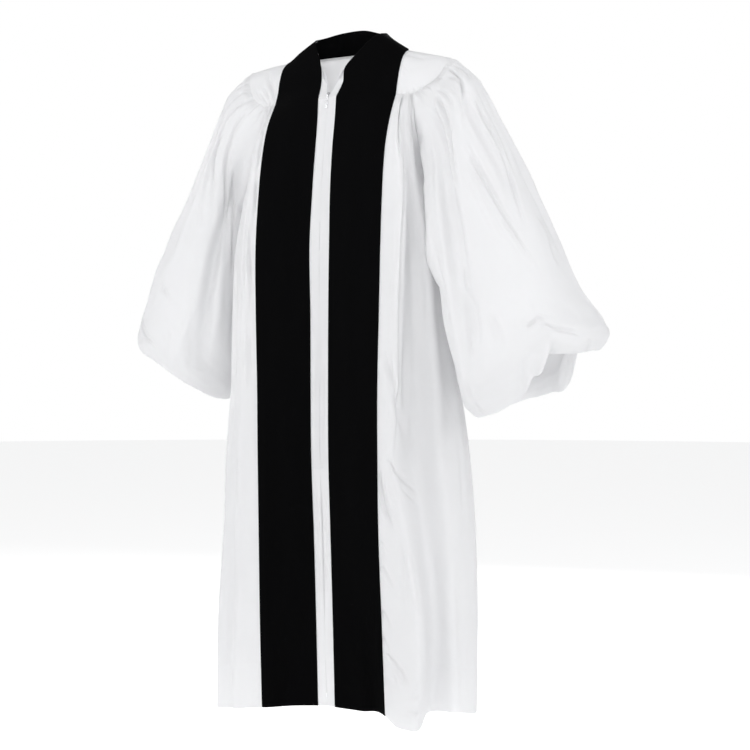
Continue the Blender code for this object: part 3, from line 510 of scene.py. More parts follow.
def fold(height, a, b, path, half_width, depth, ends=(0.3, 0.3), skew=0.0, crisp=0.0, spread=1.0):
    """Adds one trough (depth below 0) or ridge along a path in metres over the cloth.

    ends are the shares of its length over which it fades, skew makes one flank steeper, crisp sharpens its bottom, and spread widens its far end.
    """
    path = rounded_path(path)
    reach = 3.2 * half_width * max(1.0, spread)
    near = (a > path[:, 0].min() - reach) & (a < path[:, 0].max() + reach) & (b > path[:, 1].min() - reach) & (b < path[:, 1].max() + reach)
    if not near.any():
        return
    pa, pb = a[near], b[near]
    best = np.full(pa.shape, 1e9)
    along, aside = np.zeros(pa.shape), np.zeros(pa.shape)
    steps = np.linalg.norm(np.diff(path, axis=0), axis=1)
    total, done = steps.sum(), 0.0
    for (p, q), length in zip(zip(path, path[1:]), steps):
        if length < 1e-9:
            continue
        way = (q - p) / length
        t = np.clip((pa - p[0]) * way[0] + (pb - p[1]) * way[1], 0, length)
        da, db = pa - p[0] - way[0] * t, pb - p[1] - way[1] * t
        gap = np.hypot(da, db)
        closer = gap < best
        best = np.where(closer, gap, best)
        along = np.where(closer, (done + t) / total, along)
        aside = np.where(closer, np.sign(da * way[1] - db * way[0]), aside)
        done += length
    width = half_width * (1 + (spread - 1) * along)
    r = best / width
    if skew:
        r = r * np.where(aside > 0, 1 + skew, 1 - skew)
    shape = (1 - 0.8 * r * r) * np.exp(-r * r)
    if crisp:
        shape = shape * (1 - crisp) + crisp * np.exp(-2.2 * r)
    fade = soft(along / max(ends[0], 1e-3)) * soft((1 - along) / max(ends[1], 1e-3))
    height[near] += depth * shape * fade


def gathers(height, a, b, start, end, spacing, depth, length, seed, at=0.0, lean=0.0):
    """Small uneven puckers that run down from a seam at b = at, between start and end."""
    rng = np.random.default_rng(seed)
    place = start + spacing * rng.uniform(0.2, 0.8)
    while place < end:
        long = length * rng.uniform(0.45, 1.35)
        drift = long * (rng.uniform(-0.12, 0.12) + lean)
        bend = long * rng.uniform(-0.05, 0.05)
        deep = depth * rng.uniform(0.45, 1.25)
        path = [(place, at - 0.004), (place + drift * 0.5 + bend, at + long * 0.45), (place + drift, at + long)]
        fold(height, a, b, path, spacing * rng.uniform(0.28, 0.42), -deep, ends=(0.04, 0.85), crisp=0.25, spread=1.5)
        place += spacing * rng.uniform(0.65, 1.45)


def surface(name, points, closed, flip, u, v, material, thickness=SHELL, offset=-1.0):
    """A shell from a grid of points, with its UVs in metres over the cloth."""
    rows, columns = points.shape[:2]
    across = columns if closed else columns - 1
    i, j = np.meshgrid(np.arange(rows - 1), np.arange(across), indexing="ij")
    i, j = i.ravel(), j.ravel()
    k = (j + 1) % columns
    corners = np.stack([i * columns + j, i * columns + k, (i + 1) * columns + k, (i + 1) * columns + j], axis=1)
    uj = j + 1
    if closed:
        u = np.concatenate([u, u[:, -1:] + np.linalg.norm(points[:, :1] - points[:, -1:], axis=2)], axis=1)
        v = np.concatenate([v, v[:, :1]], axis=1)
    us = np.stack([u[i, j], u[i, uj], u[i + 1, uj], u[i + 1, j]], axis=1)
    vs = np.stack([v[i, j], v[i, uj], v[i + 1, uj], v[i + 1, j]], axis=1)
    if flip:
        corners, us, vs = corners[:, ::-1], us[:, ::-1], vs[:, ::-1]
    mesh = bpy.data.meshes.new(name)
    mesh.vertices.add(rows * columns)
    mesh.vertices.foreach_set("co", points.reshape(-1, 3).astype(np.float32).ravel())
    mesh.loops.add(len(corners) * 4)
    mesh.loops.foreach_set("vertex_index", np.ascontiguousarray(corners).astype(np.int32).ravel())
    mesh.polygons.add(len(corners))
    mesh.polygons.foreach_set("loop_start", np.arange(len(corners), dtype=np.int32) * 4)
    mesh.polygons.foreach_set("loop_total", np.full(len(corners), 4, dtype=np.int32))
    mesh.update(calc_edges=True)
    uv = mesh.uv_layers.new(name="cloth")
    uv.data.foreach_set("uv", np.stack([us.ravel(), vs.ravel()], axis=1).astype(np.float32).ravel())
    mesh.validate()
    mesh.shade_smooth()
    mesh.materials.append(material)
    thing = bpy.data.objects.new(name, mesh)
    bpy.context.scene.collection.objects.link(thing)
    if thickness:
        solid = thing.modifiers.new("wall", "SOLIDIFY")
        solid.thickness = thickness
        solid.offset = offset
    return thing


def declare(thing, node):
    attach(thing, "robe")
    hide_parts(node)


# ---- materials ----
class Nodes:
    """Short names for building a material's nodes."""

    def __init__(self, name):
        self.material = bpy.data.materials.new(name)
        self.material.use_nodes = True
        self.tree = self.material.node_tree
        self.shader = self.tree.nodes["Principled BSDF"]
        self.count = 0

    def add(self, kind, **settings):
        node = self.tree.nodes.new(kind)
        node.location = (-1400 + 190 * (self.count % 7), 500 - 220 * (self.count // 7))
        self.count += 1
        for key, value in settings.items():
            setattr(node, key, value)
        return node

    def link(self, source, target):
        self.tree.links.new(source, target)

    def math(self, operation, first, second=None, third=None):
        node = self.add("ShaderNodeMath", operation=operation)
        for socket, value in zip(node.inputs, (first, second, third)):
            if value is None:
                continue
            if isinstance(value, (int, float)):
                socket.default_value = value
            else:
                self.link(value, socket)
        return node.outputs[0]

    def noise(self, vector, scale, detail=2.0, roughness=0.5):
        node = self.add("ShaderNodeTexNoise")
        node.inputs["Scale"].default_value = scale
        node.inputs["Detail"].default_value = detail
        node.inputs["Roughness"].default_value = roughness
        self.link(vector, node.inputs["Vector"])
        return node.outputs["Fac"]

    def stretched(self, vector, scale):
        node = self.add("ShaderNodeMapping")
        node.inputs["Scale"].default_value = scale
        self.link(vector, node.inputs["Vector"])
        return node.outputs["Vector"]

    def ramp(self, value, low, high):
        """Maps a 0 to 1 value to a mix of two colours."""
        node = self.add("ShaderNodeMix", data_type="RGBA")
        self.link(value, node.inputs["Factor"])
        node.inputs[6].default_value = (*low, 1.0)
        node.inputs[7].default_value = (*high, 1.0)
        return node.outputs[2]

    def bump(self, height, strength, distance, onto=None):
        node = self.add("ShaderNodeBump")
        node.inputs["Strength"].default_value = strength
        node.inputs["Distance"].default_value = distance
        self.link(height, node.inputs["Height"])
        if onto is not None:
            self.link(onto, node.inputs["Normal"])
        return node.outputs["Normal"]

    def set(self, **values):
        for key, value in values.items():
            self.shader.inputs[key.replace("_", " ")].default_value = value


def woven(name, low, high, thread, slub, sheen, roughness, through=0.5):
    """Plain-woven cloth: threads over and under, uneven along their length, with faint changes of tone."""
    m = Nodes(name)
    uv = m.add("ShaderNodeUVMap", uv_map="cloth").outputs["UV"]
    where = m.add("ShaderNodeTexCoord").outputs["Object"]
    parts = m.add("ShaderNodeSeparateXYZ")
    m.link(uv, parts.inputs[0])
    warp = m.math("SINE", m.math("MULTIPLY", parts.outputs["X"], 2 * math.pi / thread))
    weft = m.math("SINE", m.math("MULTIPLY", parts.outputs["Y"], 2 * math.pi / thread))
    weave = m.math("MULTIPLY", warp, weft)
    down = m.noise(m.stretched(uv, (1 / (thread * 1.6), 1 / (thread * 46), 1)), 1.0, 3.0)
    across = m.noise(m.stretched(uv, (1 / (thread * 38), 1 / (thread * 1.6), 1)), 1.0, 3.0)
    slubs = m.math("ADD", down, across)
    crumple = m.noise(where, 42.0, 4.0, 0.55)
    tone = m.noise(where, 5.5, 3.0, 0.5)
    shade = m.math("ADD", m.math("MULTIPLY", tone, 0.72), m.math("MULTIPLY", slubs, 0.14))
    m.link(m.ramp(shade, low, high), m.shader.inputs["Base Color"])
    rough = m.math("ADD", m.math("MULTIPLY", down, 0.10), roughness - 0.05)
    m.link(rough, m.shader.inputs["Roughness"])
    first = m.bump(crumple, 0.30, 0.0026)
    second = m.bump(slubs, slub, 0.00016, first)
    shaped = m.bump(weave, 0.35, thread * 0.12, second)
    m.link(shaped, m.shader.inputs["Normal"])
    m.set(Sheen_Weight=sheen, Sheen_Roughness=0.45, Specular_IOR_Level=0.3)
    # light comes through the thin cloth
    behind = m.add("ShaderNodeBsdfTranslucent")
    behind.inputs["Color"].default_value = (0.90, 0.90, 0.905, 1.0)
    m.link(shaped, behind.inputs["Normal"])
    both = m.add("ShaderNodeMixShader")
    both.inputs[0].default_value = through
    m.link(m.shader.outputs[0], both.inputs[1])
    m.link(behind.outputs[0], both.inputs[2])
    m.link(both.outputs[0], m.tree.nodes["Material Output"].inputs["Surface"])
    return m.material


def velvet(name):
    """Cut pile: nearly black, with soft streaks where the pile leans."""
    m = Nodes(name)
    uv = m.add("ShaderNodeUVMap", uv_map="cloth").outputs["UV"]
    where = m.add("ShaderNodeTexCoord").outputs["Object"]
    pile = m.noise(where, 2600.0, 2.0, 0.6)
    tufts = m.noise(m.stretched(uv, (900.0, 260.0, 1.0)), 1.0, 3.0)
    brushed = m.noise(m.stretched(uv, (26.0, 7.0, 1.0)), 1.0, 4.0, 0.6)
    lean = m.math("ADD", m.math("MULTIPLY", brushed, 0.6), m.math("MULTIPLY", tufts, 0.4))
    m.link(m.ramp(lean, (0.0006, 0.0006, 0.0007), (0.0026, 0.0026, 0.0029)), m.shader.inputs["Base Color"])
    m.link(m.math("ADD", m.math("MULTIPLY", brushed, 0.2), 0.75), m.shader.inputs["Roughness"])
    first = m.bump(brushed, 0.25, 0.0012)
    second = m.bump(tufts, 0.4, 0.0003, first)
    m.link(m.bump(pile, 0.5, 0.0002, second), m.shader.inputs["Normal"])
    m.set(Sheen_Weight=0.014, Sheen_Roughness=0.3, Specular_IOR_Level=0.02)
    return m.material


def plated(name):
    """Plated die-cast metal with a faint grain and worn edges."""
    m = Nodes(name)
    where = m.add("ShaderNodeTexCoord").outputs["Object"]
    grain = m.noise(where, 1500.0, 3.0, 0.6)
    cloud = m.noise(where, 260.0, 2.0)
    m.link(m.ramp(cloud, (0.66, 0.66, 0.68), (0.80, 0.80, 0.82)), m.shader.inputs["Base Color"])
    m.link(m.math("ADD", m.math("MULTIPLY", grain, 0.18), 0.17), m.shader.inputs["Roughness"])
    m.link(m.bump(grain, 0.12, 0.00005), m.shader.inputs["Normal"])
    m.set(Metallic=1.0)
    return m.material


def moulded(name):
    """White moulded teeth."""
    m = Nodes(name)
    where = m.add("ShaderNodeTexCoord").outputs["Object"]
    cloud = m.noise(where, 300.0, 2.0)
    m.link(m.ramp(cloud, (0.80, 0.80, 0.82), (0.86, 0.86, 0.88)), m.shader.inputs["Base Color"])
    m.link(m.math("ADD", m.math("MULTIPLY", cloud, 0.12), 0.32), m.shader.inputs["Roughness"])
    m.link(m.bump(cloud, 0.1, 0.0001), m.shader.inputs["Normal"])
    m.set(Specular_IOR_Level=0.5)
    return m.material


def twisted(name):
    """Sewing thread, with its twist."""
    m = Nodes(name)
    where = m.add("ShaderNodeTexCoord").outputs["Object"]
    ply = m.noise(m.stretched(where, (1.0, 1.0, 2.4)), 2400.0, 2.0)
    m.link(m.ramp(ply, (0.76, 0.76, 0.78), (0.86, 0.86, 0.88)), m.shader.inputs["Base Color"])
    m.link(m.bump(ply, 0.5, 0.0001), m.shader.inputs["Normal"])
    m.set(Roughness=0.55, Sheen_Weight=0.1)
    return m.material


white = woven("white_cloth_woven", (0.835, 0.837, 0.848), (0.895, 0.896, 0.902), 0.00055, 0.35, 0.15, 0.68)
black = velvet("black_velvet_pile")
tape_cloth = woven("zip_tape_woven", (0.80, 0.80, 0.825), (0.86, 0.86, 0.875), 0.0008, 0.5, 0.10, 0.75)
metal = plated("zip_metal_plated")
plastic = moulded("zip_teeth_moulded")
thread = twisted("sewing_thread")


# ---- fronts ----
def spaced(stops, step):
    """Columns through the named stops, no further apart than step."""
    found = [stops[0]]
    for low, high in zip(stops, stops[1:]):
        count = max(1, round(abs(high - low) / step))
        found += [low + (high - low) * k / count for k in range(1, count + 1)]
    return found


# Creases of a front: a path of (f, z) over the cloth, f from the centre line, then sizes in metres.
FRONT_CREASES = {
    1: [
        # path, half_width, depth, ends, skew, crisp
        # the pleat's mouth at the yoke seam, and the soft roll left of the crest
        ([(0.196, -0.104), (0.200, -0.17), (0.206, -0.26)], 0.0055, -0.0055, (0.05, 0.7), 0.2, 0.3),
        ([(0.178, -0.36), (0.180, -0.60), (0.178, -0.82)], 0.0060, -0.0012, (0.3, 0.3), 0.0, 0.0),
        # the hollow that the pleat leaves beside it
        ([(0.160, -0.600), (0.182, -0.688), (0.207, -0.747), (0.230, -0.830)], 0.0120, -0.0048, (0.3, 0.35), 0.0, 0.1),
        # behind the pleat, down to the side
        ([(0.232, -0.200), (0.206, -0.389), (0.202, -0.588), (0.204, -0.787), (0.192, -0.900)], 0.0055, -0.0045, (0.25, 0.35), -0.3, 0.4),
        ([(0.222, -0.56), (0.221, -0.66), (0.222, -0.80)], 0.0130, -0.0050, (0.4, 0.4), 0.0, 0.0),
        ([(0.262, -0.24), (0.268, -0.42), (0.275, -0.66)], 0.0150, -0.0022, (0.4, 0.4), 0.1, 0.0),
        ([(0.300, -0.30), (0.300, -0.60), (0.296, -0.90)], 0.0200, 0.0022, (0.3, 0.4), 0.0, 0.0),
        # full at the side, where it meets the sleeve
        ([(0.334, -0.30), (0.342, -0.52), (0.343, -0.76), (0.336, -1.02)], 0.0230, 0.0062, (0.25, 0.4), 0.0, 0.0),
        ([(0.335, -0.78), (0.338, -0.88), (0.336, -0.98)], 0.0075, -0.0022, (0.35, 0.35), -0.2, 0.2),
        ([(0.288, -0.840), (0.318, -0.842)], 0.0050, -0.0009, (0.4, 0.4), 0.0, 0.2),
        ([(0.276, -0.700), (0.300, -0.708)], 0.0060, -0.0008, (0.4, 0.4), 0.0, 0.2),
        ([(0.255, -0.98), (0.262, -1.12), (0.266, -1.30)], 0.0150, -0.0010, (0.35, 0.2), 0.1, 0.0),
        ([(0.312, -1.00), (0.318, -1.16), (0.322, -1.36)], 0.0160, -0.0024, (0.35, 0.1), 0.0, 0.0),
        # drags that fan down from the pleat
        ([(0.178, -0.842), (0.205, -0.876), (0.253, -0.922)], 0.0060, -0.0042, (0.2, 0.45), 0.2, 0.4),
        ([(0.198, -0.862), (0.222, -0.886), (0.244, -0.900)], 0.0035, -0.0020, (0.3, 0.45), 0.0, 0.4),
        ([(0.205, -0.900), (0.224, -0.924), (0.246, -0.944)], 0.0040, -0.0018, (0.3, 0.45), 0.0, 0.3),
        ([(0.153, -0.855), (0.158, -0.915), (0.168, -0.965), (0.182, -1.000)], 0.0055, -0.0055, (0.3, 0.3), 0.3, 0.5),
        ([(0.168, -0.870), (0.174, -0.930), (0.186, -0.985)], 0.0060, 0.0022, (0.4, 0.4), 0.0, 0.0),
        ([(0.188, -1.000), (0.184, -1.080), (0.176, -1.170)], 0.0045, -0.0032, (0.3, 0.5), -0.2, 0.3),
        ([(0.196, -1.020), (0.196, -1.090), (0.192, -1.170)], 0.0050, 0.0026, (0.4, 0.4), 0.0, 0.1),
        ([(0.151, -1.060), (0.160, -1.088), (0.172, -1.114)], 0.0042, -0.0032, (0.15, 0.5), 0.2, 0.4),
        ([(0.150, -1.010), (0.157, -1.030), (0.166, -1.046)], 0.0040, -0.0016, (0.15, 0.5), 0.2, 0.3),
        ([(0.149, -1.150), (0.155, -1.172), (0.163, -1.192)], 0.0042, -0.0036, (0.12, 0.5), 0.2, 0.4),
        ([(0.149, -1.205), (0.154, -1.222), (0.160, -1.240)], 0.0038, -0.0034, (0.12, 0.5), 0.2, 0.4),
        ([(0.149, -1.236), (0.160, -1.244), (0.170, -1.256), (0.181, -1.288)], 0.0045, -0.0046, (0.12, 0.4), 0.25, 0.5),
        ([(0.160, -1.268), (0.166, -1.288), (0.170, -1.306)], 0.0040, -0.0022, (0.3, 0.5), 0.0, 0.3),
        ([(0.182, -1.302), (0.190, -1.308), (0.200, -1.306)], 0.0034, -0.0018, (0.3, 0.3), 0.0, 0.3),
        ([(0.178, -1.332), (0.190, -1.336), (0.203, -1.330)], 0.0034, -0.0022, (0.3, 0.3), 0.0, 0.3),
        ([(0.172, -1.352), (0.181, -1.350), (0.192, -1.353)], 0.0030, 0.0014, (0.3, 0.3), 0.0, 0.1),
        # the centre strip
        ([(0.010, -0.62), (0.011, -0.74), (0.010, -0.86)], 0.0036, -0.0009, (0.3, 0.2), 0.0, 0.0),
        ([(0.011, -0.90), (0.010, -1.00), (0.012, -1.16)], 0.0034, -0.0010, (0.2, 0.4), 0.0, 0.0),
    ],
    -1: [
        # path, half_width, depth, ends, skew, crisp
        ([(0.214, -0.104), (0.210, -0.17), (0.207, -0.28)], 0.0070, -0.0038, (0.05, 0.6), 0.1, 0.3),
        ([(0.196, -0.104), (0.190, -0.15), (0.184, -0.21)], 0.0050, -0.0030, (0.05, 0.6), 0.0, 0.3),
        ([(0.186, -0.13), (0.184, -0.20), (0.180, -0.27)], 0.0055, 0.0022, (0.3, 0.4), 0.0, 0.1),
        ([(0.177, -0.25), (0.172, -0.31), (0.169, -0.36)], 0.0070, -0.0040, (0.35, 0.4), 0.2, 0.2),
        ([(0.189, -0.36), (0.186, -0.43), (0.180, -0.50)], 0.0055, 0.0026, (0.3, 0.4), 0.1, 0.1),
        ([(0.174, -0.40), (0.171, -0.48), (0.173, -0.55)], 0.0045, -0.0026, (0.35, 0.35), 0.1, 0.3),
        ([(0.199, -0.30), (0.200, -0.42), (0.197, -0.56)], 0.0080, -0.0036, (0.3, 0.4), 0.0, 0.2),
        ([(0.186, -0.53), (0.183, -0.62), (0.178, -0.73)], 0.0060, 0.0020, (0.4, 0.4), 0.0, 0.0),
        ([(0.168, -0.58), (0.168, -0.64), (0.166, -0.70)], 0.0045, -0.0020, (0.4, 0.4), 0.0, 0.2),
        ([(0.215, -0.46), (0.220, -0.62), (0.216, -0.82)], 0.0130, -0.0040, (0.35, 0.4), 0.0, 0.0),
        ([(0.262, -0.40), (0.268, -0.66), (0.276, -0.96)], 0.0180, -0.0050, (0.35, 0.35), 0.0, 0.0),
        ([(0.236, -0.80), (0.242, -1.04), (0.246, -1.36)], 0.0180, -0.0036, (0.35, 0.1), 0.1, 0.0),
        ([(0.318, -0.72), (0.322, -1.00), (0.326, -1.36)], 0.0180, -0.0046, (0.35, 0.1), 0.0, 0.0),
        ([(0.196, -0.86), (0.206, -0.884)], 0.0060, -0.0008, (0.4, 0.4), 0.0, 0.2),
        ([(0.180, -0.95), (0.200, -0.958)], 0.0060, -0.0007, (0.4, 0.4), 0.0, 0.2),
        ([(0.160, -1.02), (0.178, -1.026)], 0.0050, -0.0007, (0.4, 0.4), 0.0, 0.2),
        ([(0.012, -0.60), (0.010, -0.74), (0.011, -0.86)], 0.0036, -0.0010, (0.3, 0.2), 0.0, 0.0),
        ([(0.010, -0.89), (0.009, -1.02), (0.011, -1.20)], 0.0034, -0.0014, (0.2, 0.4), 0.0, 0.1),
    ],
}

# Where the two fronts part a little along the centre line, showing a dark slit: from and to, and how wide at the most.
CENTRE_SLITS = [
    # z_top, z_end, half_gap
    (-0.355, -0.425, 0.0007),
    (-0.690, -0.862, 0.0010),
    (-0.880, -1.205, 0.0016),
    (-1.265, -1.365, 0.0006),
]



def bordered(stations, gap):
    """Stations with one more just inside each end, so that an edge stays crisp."""
    way = gap if stations[-1] > stations[0] else -gap
    return [stations[0], stations[0] + way] + stations[1:-1] + [stations[-1] - way, stations[-1]]


FRONT_F = bordered(spaced([0.0, 0.0205], 0.0026) + spaced([0.0205, 0.1485], 0.0050)[1:] + spaced([0.1485, 0.250], 0.0022)[1:] + spaced([0.250, 0.365], 0.0034)[1:], 0.0005)
FRONT_Z = bordered(spaced([YOKE_Z, UNDERARM_Z, HEM_Z], 0.0037), 0.0005)


def tucked(edge, inner, out, over=0.0012, below=0.0004):
    """An edge pushed on past its seam and in under the next piece."""
    way = edge - inner
    way = way / np.linalg.norm(way, axis=1, keepdims=True)
    return edge + way * over - out * below


def under_velvet(f):
    """0 under the velvet, 1 clear of it."""
    return 1 - soft((f - 0.0180) / 0.003) * soft((0.1495 - f) / 0.003)


def front_surface(side):
    points = array_of([front_row(side, FRONT_F, z) for z in FRONT_Z])
    f, z = np.meshgrid(FRONT_F, FRONT_Z)
    a, b = f, -z
    height = np.zeros(f.shape)
    for path, half_width, depth, ends, skew, crisp in FRONT_CREASES[side]:
        fold(height, a, b, [(p, -q) for p, q in path], half_width, depth * 1.5, ends, skew, crisp)
    gathers(height, a, b, 0.155, 0.352, 0.0125 if side > 0 else 0.0100, 0.0022, 0.055, 11 if side > 0 else 12, at=-YOKE_Z)
    # slack that no crease explains
    free = soft((f - 0.150) / 0.03)
    height += free * (0.0020 * uneven(a, b, 0.055, 0.170, 21 + side) + 0.0010 * uneven(a, b, 0.024, 0.080, 31 + side) + 0.00035 * uneven(a, b, 0.010, 0.022, 41 + side))
    height += (1 - soft((f - 0.018) / 0.004)) * 0.0003 * uneven(a, b, 0.012, 0.050, 51 + side)
    # no fold reaches under the velvet, and the armhole and side seam are held
    height *= under_velvet(f)
    held = soft((0.365 - f) / 0.020)
    top = soft((b + YOKE_Z) / 0.004)
    height *= (0.15 + 0.85 * held) * (0.35 + 0.65 * top)
    # seams sink a little, and the centre edge rolls in
    height -= 0.0003 * np.exp(-(((0.365 - f) / 0.0042) ** 2))
    height -= 0.0004 * np.exp(-(((b + YOKE_Z) / 0.0040) ** 2)) * under_velvet(f)
    height -= 0.00015 * np.exp(-((f / 0.0020) ** 2))
    # the turned hem: doubled cloth, its stitching in small dimples, its edge a soft fold
    low = lengths_down(points)
    up = low[-1:] - low
    dimple = 0.55 + 0.45 * np.cos(2 * math.pi * f / 0.0072)
    height -= 0.0011 * np.exp(-(((up - HEM_DEPTH) / 0.0021) ** 2)) * dimple * under_velvet(f)
    height += 0.0004 * soft((HEM_DEPTH - up) / 0.004)
    height -= 0.0005 * np.exp(-((up / 0.0016) ** 2))
    # the cross stitching at the zip's end
    height -= 0.0011 * np.exp(-(((b + ZIP_END_Z) / 0.0018) ** 2)) * (1 - soft((f - (0.0205 if side < 0 else 0.006)) / 0.006)) * under_velvet(f)
    out = normals_of(points, False, -side)
    # slits where the edges part and sink a little
    gap = np.zeros(f.shape)
    for z_top, z_end, half_gap in CENTRE_SLITS:
        share = (b + z_top) / (z_top - z_end)
        gap = np.maximum(gap, half_gap * soft(share / 0.25) * soft((1 - share) / 0.25))
    height -= 0.6 * gap * np.exp(-((f / 0.0026) ** 2))
    moved = points + out * height[..., None]
    moved[..., 0] += side * (0.00003 + gap) * np.exp(-((f / 0.006) ** 2))
    # the yoke seam laps over its top edge
    clear = FRONT_F.index(0.1485)
    moved[0, clear:] = tucked(moved[0, clear:], moved[1, clear:], out[0, clear:])
    return moved, a, b


front_pieces = {}
for side, word in ((1, "left"), (-1, "right")):
    moved, a, b = front_surface(side)
    piece = surface(f"front_{word}_cloth", moved, False, side > 0, a, b, white)
    declare(piece, f"front_{word}")
    front_pieces[side] = piece

# ---- front yokes ----
YOKE_S = bordered([5 * k / 44 for k in range(45)], 0.018)
YOKE_F = bordered(spaced([0.0, 0.0205], 0.0034) + spaced([0.0205, 0.1485], 0.0080)[1:] + spaced([0.1485, 0.365], 0.0036)[1:], 0.0006)

# Creases of a front yoke: a path of (f, row), row 0 at the yoke seam and 5 at the shoulder line.
YOKE_CREASES = {
    1: [
        # path, half_width, depth, ends, skew, crisp
        ([(0.152, 2.6), (0.190, 2.2), (0.240, 2.1)], 0.0040, -0.0012, (0.1, 0.6), 0.0, 0.2),
        ([(0.152, 1.9), (0.185, 1.6)], 0.0035, -0.0010, (0.1, 0.6), 0.0, 0.2),
        ([(0.150, 3.9), (0.210, 3.9), (0.290, 4.2)], 0.0070, -0.0016, (0.1, 0.6), 0.0, 0.0),
    ],
    -1: [
        # path, half_width, depth, ends, skew, crisp
        ([(0.165, 0.2), (0.190, 1.8), (0.210, 3.2)], 0.0048, -0.0034, (0.1, 0.5), 0.1, 0.3),
        ([(0.185, 1.4), (0.214, 2.9), (0.232, 4.3)], 0.0060, -0.0026, (0.2, 0.4), 0.0, 0.1),
        ([(0.205, 0.1), (0.232, 1.6), (0.262, 2.8)], 0.0050, -0.0028, (0.1, 0.5), 0.0, 0.2),
        ([(0.250, 0.1), (0.275, 1.5), (0.300, 2.6)], 0.0050, -0.0022, (0.1, 0.5), 0.0, 0.2),
        ([(0.290, 0.8), (0.312, 2.2), (0.330, 3.4)], 0.0060, -0.0018, (0.2, 0.5), 0.0, 0.1),
    ],
}


def neck_edge(row):
    """The velvet's inner edge on a yoke: it nears the opening above the zip."""
    return 0.0205 - 0.0105 * ease((row - 1.5) / 1.3)


def yoke_surface(side):
    points = array_of([yoke_row(side, [max(f, (neck_edge(s) + 0.0025 + 0.0035 * ease((s - 2.8) / 0.9)) * ease((s - 1.1) / 0.6) * (1 + f)) for f in YOKE_F] if s > 1.1 else YOKE_F, s) for s in YOKE_S])
    f, s = np.meshgrid(YOKE_F, YOKE_S)
    down = lengths_down(points)
    across = lengths_across(points)
    # a in metres over the cloth, from the velvet's outer edge
    edge = YOKE_F.index(0.1485)
    a, b = across - across[:, edge : edge + 1], down
    height = np.zeros(f.shape)

    def place(path):
        found = []
        for pf, ps in path:
            i = min(range(len(YOKE_S)), key=lambda k: abs(YOKE_S[k] - ps))
            j = min(range(len(YOKE_F)), key=lambda k: abs(YOKE_F[k] - pf))
            found.append((a[i, j], b[i, j]))
        return found

    for path, half_width, depth, ends, skew, crisp in YOKE_CREASES[side]:
        fold(height, a, b, place(path), half_width, depth * 1.3, ends, skew, crisp)
    gathers(height, a, b, 0.004, 0.10, 0.0085, 0.0024, 0.024, 13 if side > 0 else 14)
    height += 0.0007 * uneven(a, b, 0.035, 0.035, 61 + side) + 0.0002 * uneven(a, b, 0.011, 0.011, 71 + side)
    height *= under_velvet(f)
    far = across[:, -1:] - across
    height *= 0.2 + 0.8 * soft(far / 0.012)
    height -= 0.0003 * np.exp(-((far / 0.0042) ** 2))
    height -= 0.0004 * np.exp(-((down / 0.0040) ** 2)) * under_velvet(f)
    up = down[-1:] - down
    height -= 0.0009 * np.exp(-((up / 0.0032) ** 2)) * under_velvet(f)
    height -= 0.00015 * np.exp(-((across / 0.0020) ** 2))
    out = normals_of(points, False, side)
    moved = points + out * height[..., None]
    moved[:, :, 0] += side * 0.00003 * np.exp(-((f / 0.006) ** 2)) * (1 - soft(s / 0.3))
    return moved, across, down


for side, word in ((1, "left"), (-1, "right")):
    moved, a, b = yoke_surface(side)
    piece = surface(f"yoke_{word}_cloth", moved, False, side < 0, a, b, white)
    declare(piece, f"yoke_{word}")

# ---- back ----
# Creases of the back: a path of (v, z), v from -1 at the right side seam to 1 at the left one.
BACK_CREASES = [
    # path, half_width, depth, ends, skew, crisp
    ([(-0.66, -0.150), (-0.66, -0.34), (-0.68, -0.62)], 0.0085, -0.0045, (0.03, 0.6), 0.1, 0.2),
    ([(-0.43, -0.150), (-0.44, -0.30), (-0.45, -0.52)], 0.0080, -0.0050, (0.03, 0.6), -0.1, 0.2),
    ([(-0.19, -0.150), (-0.19, -0.36), (-0.21, -0.70)], 0.0090, -0.0055, (0.03, 0.6), 0.1, 0.2),
    ([(0.06, -0.150), (0.06, -0.28), (0.05, -0.48)], 0.0075, -0.0045, (0.03, 0.6), 0.0, 0.2),
    ([(0.31, -0.150), (0.31, -0.38), (0.33, -0.74)], 0.0085, -0.0052, (0.03, 0.6), -0.1, 0.2),
    ([(0.56, -0.150), (0.57, -0.30), (0.59, -0.56)], 0.0080, -0.0046, (0.03, 0.6), 0.1, 0.2),
    ([(0.80, -0.200), (0.81, -0.36), (0.82, -0.60)], 0.0080, -0.0030, (0.10, 0.6), 0.0, 0.1),
    ([(-0.86, -0.260), (-0.87, -0.44), (-0.88, -0.74)], 0.0090, -0.0034, (0.20, 0.6), 0.0, 0.1),
    ([(-0.42, -0.70), (-0.46, -1.00), (-0.47, -1.37)], 0.0170, -0.0052, (0.4, 0.05), 0.0, 0.0),
    ([(-0.18, -0.84), (-0.20, -1.10), (-0.22, -1.37)], 0.0150, -0.0046, (0.4, 0.05), 0.1, 0.0),
    ([(0.05, -0.66), (0.04, -1.00), (0.03, -1.37)], 0.0160, -0.0050, (0.4, 0.05), 0.0, 0.0),
    ([(0.33, -0.92), (0.33, -1.14), (0.31, -1.37)], 0.0150, -0.0048, (0.4, 0.05), -0.1, 0.0),
    ([(0.60, -0.74), (0.61, -1.04), (0.60, -1.37)], 0.0160, -0.0050, (0.4, 0.05), 0.0, 0.0),
    ([(-0.70, -0.86), (-0.71, -1.10), (-0.70, -1.37)], 0.0160, -0.0046, (0.4, 0.05), 0.0, 0.0),
    ([(0.86, -0.80), (0.88, -1.05), (0.88, -1.37)], 0.0140, -0.0036, (0.4, 0.05), 0.0, 0.0),
    ([(-0.30, -0.62), (-0.24, -0.66)], 0.0060, -0.0010, (0.4, 0.4), 0.0, 0.2),
    ([(0.18, -0.80), (0.25, -0.83)], 0.0060, -0.0010, (0.4, 0.4), 0.0, 0.2),
    ([(0.70, -0.48), (0.78, -0.51)], 0.0055, -0.0011, (0.4, 0.4), 0.0, 0.2),
]
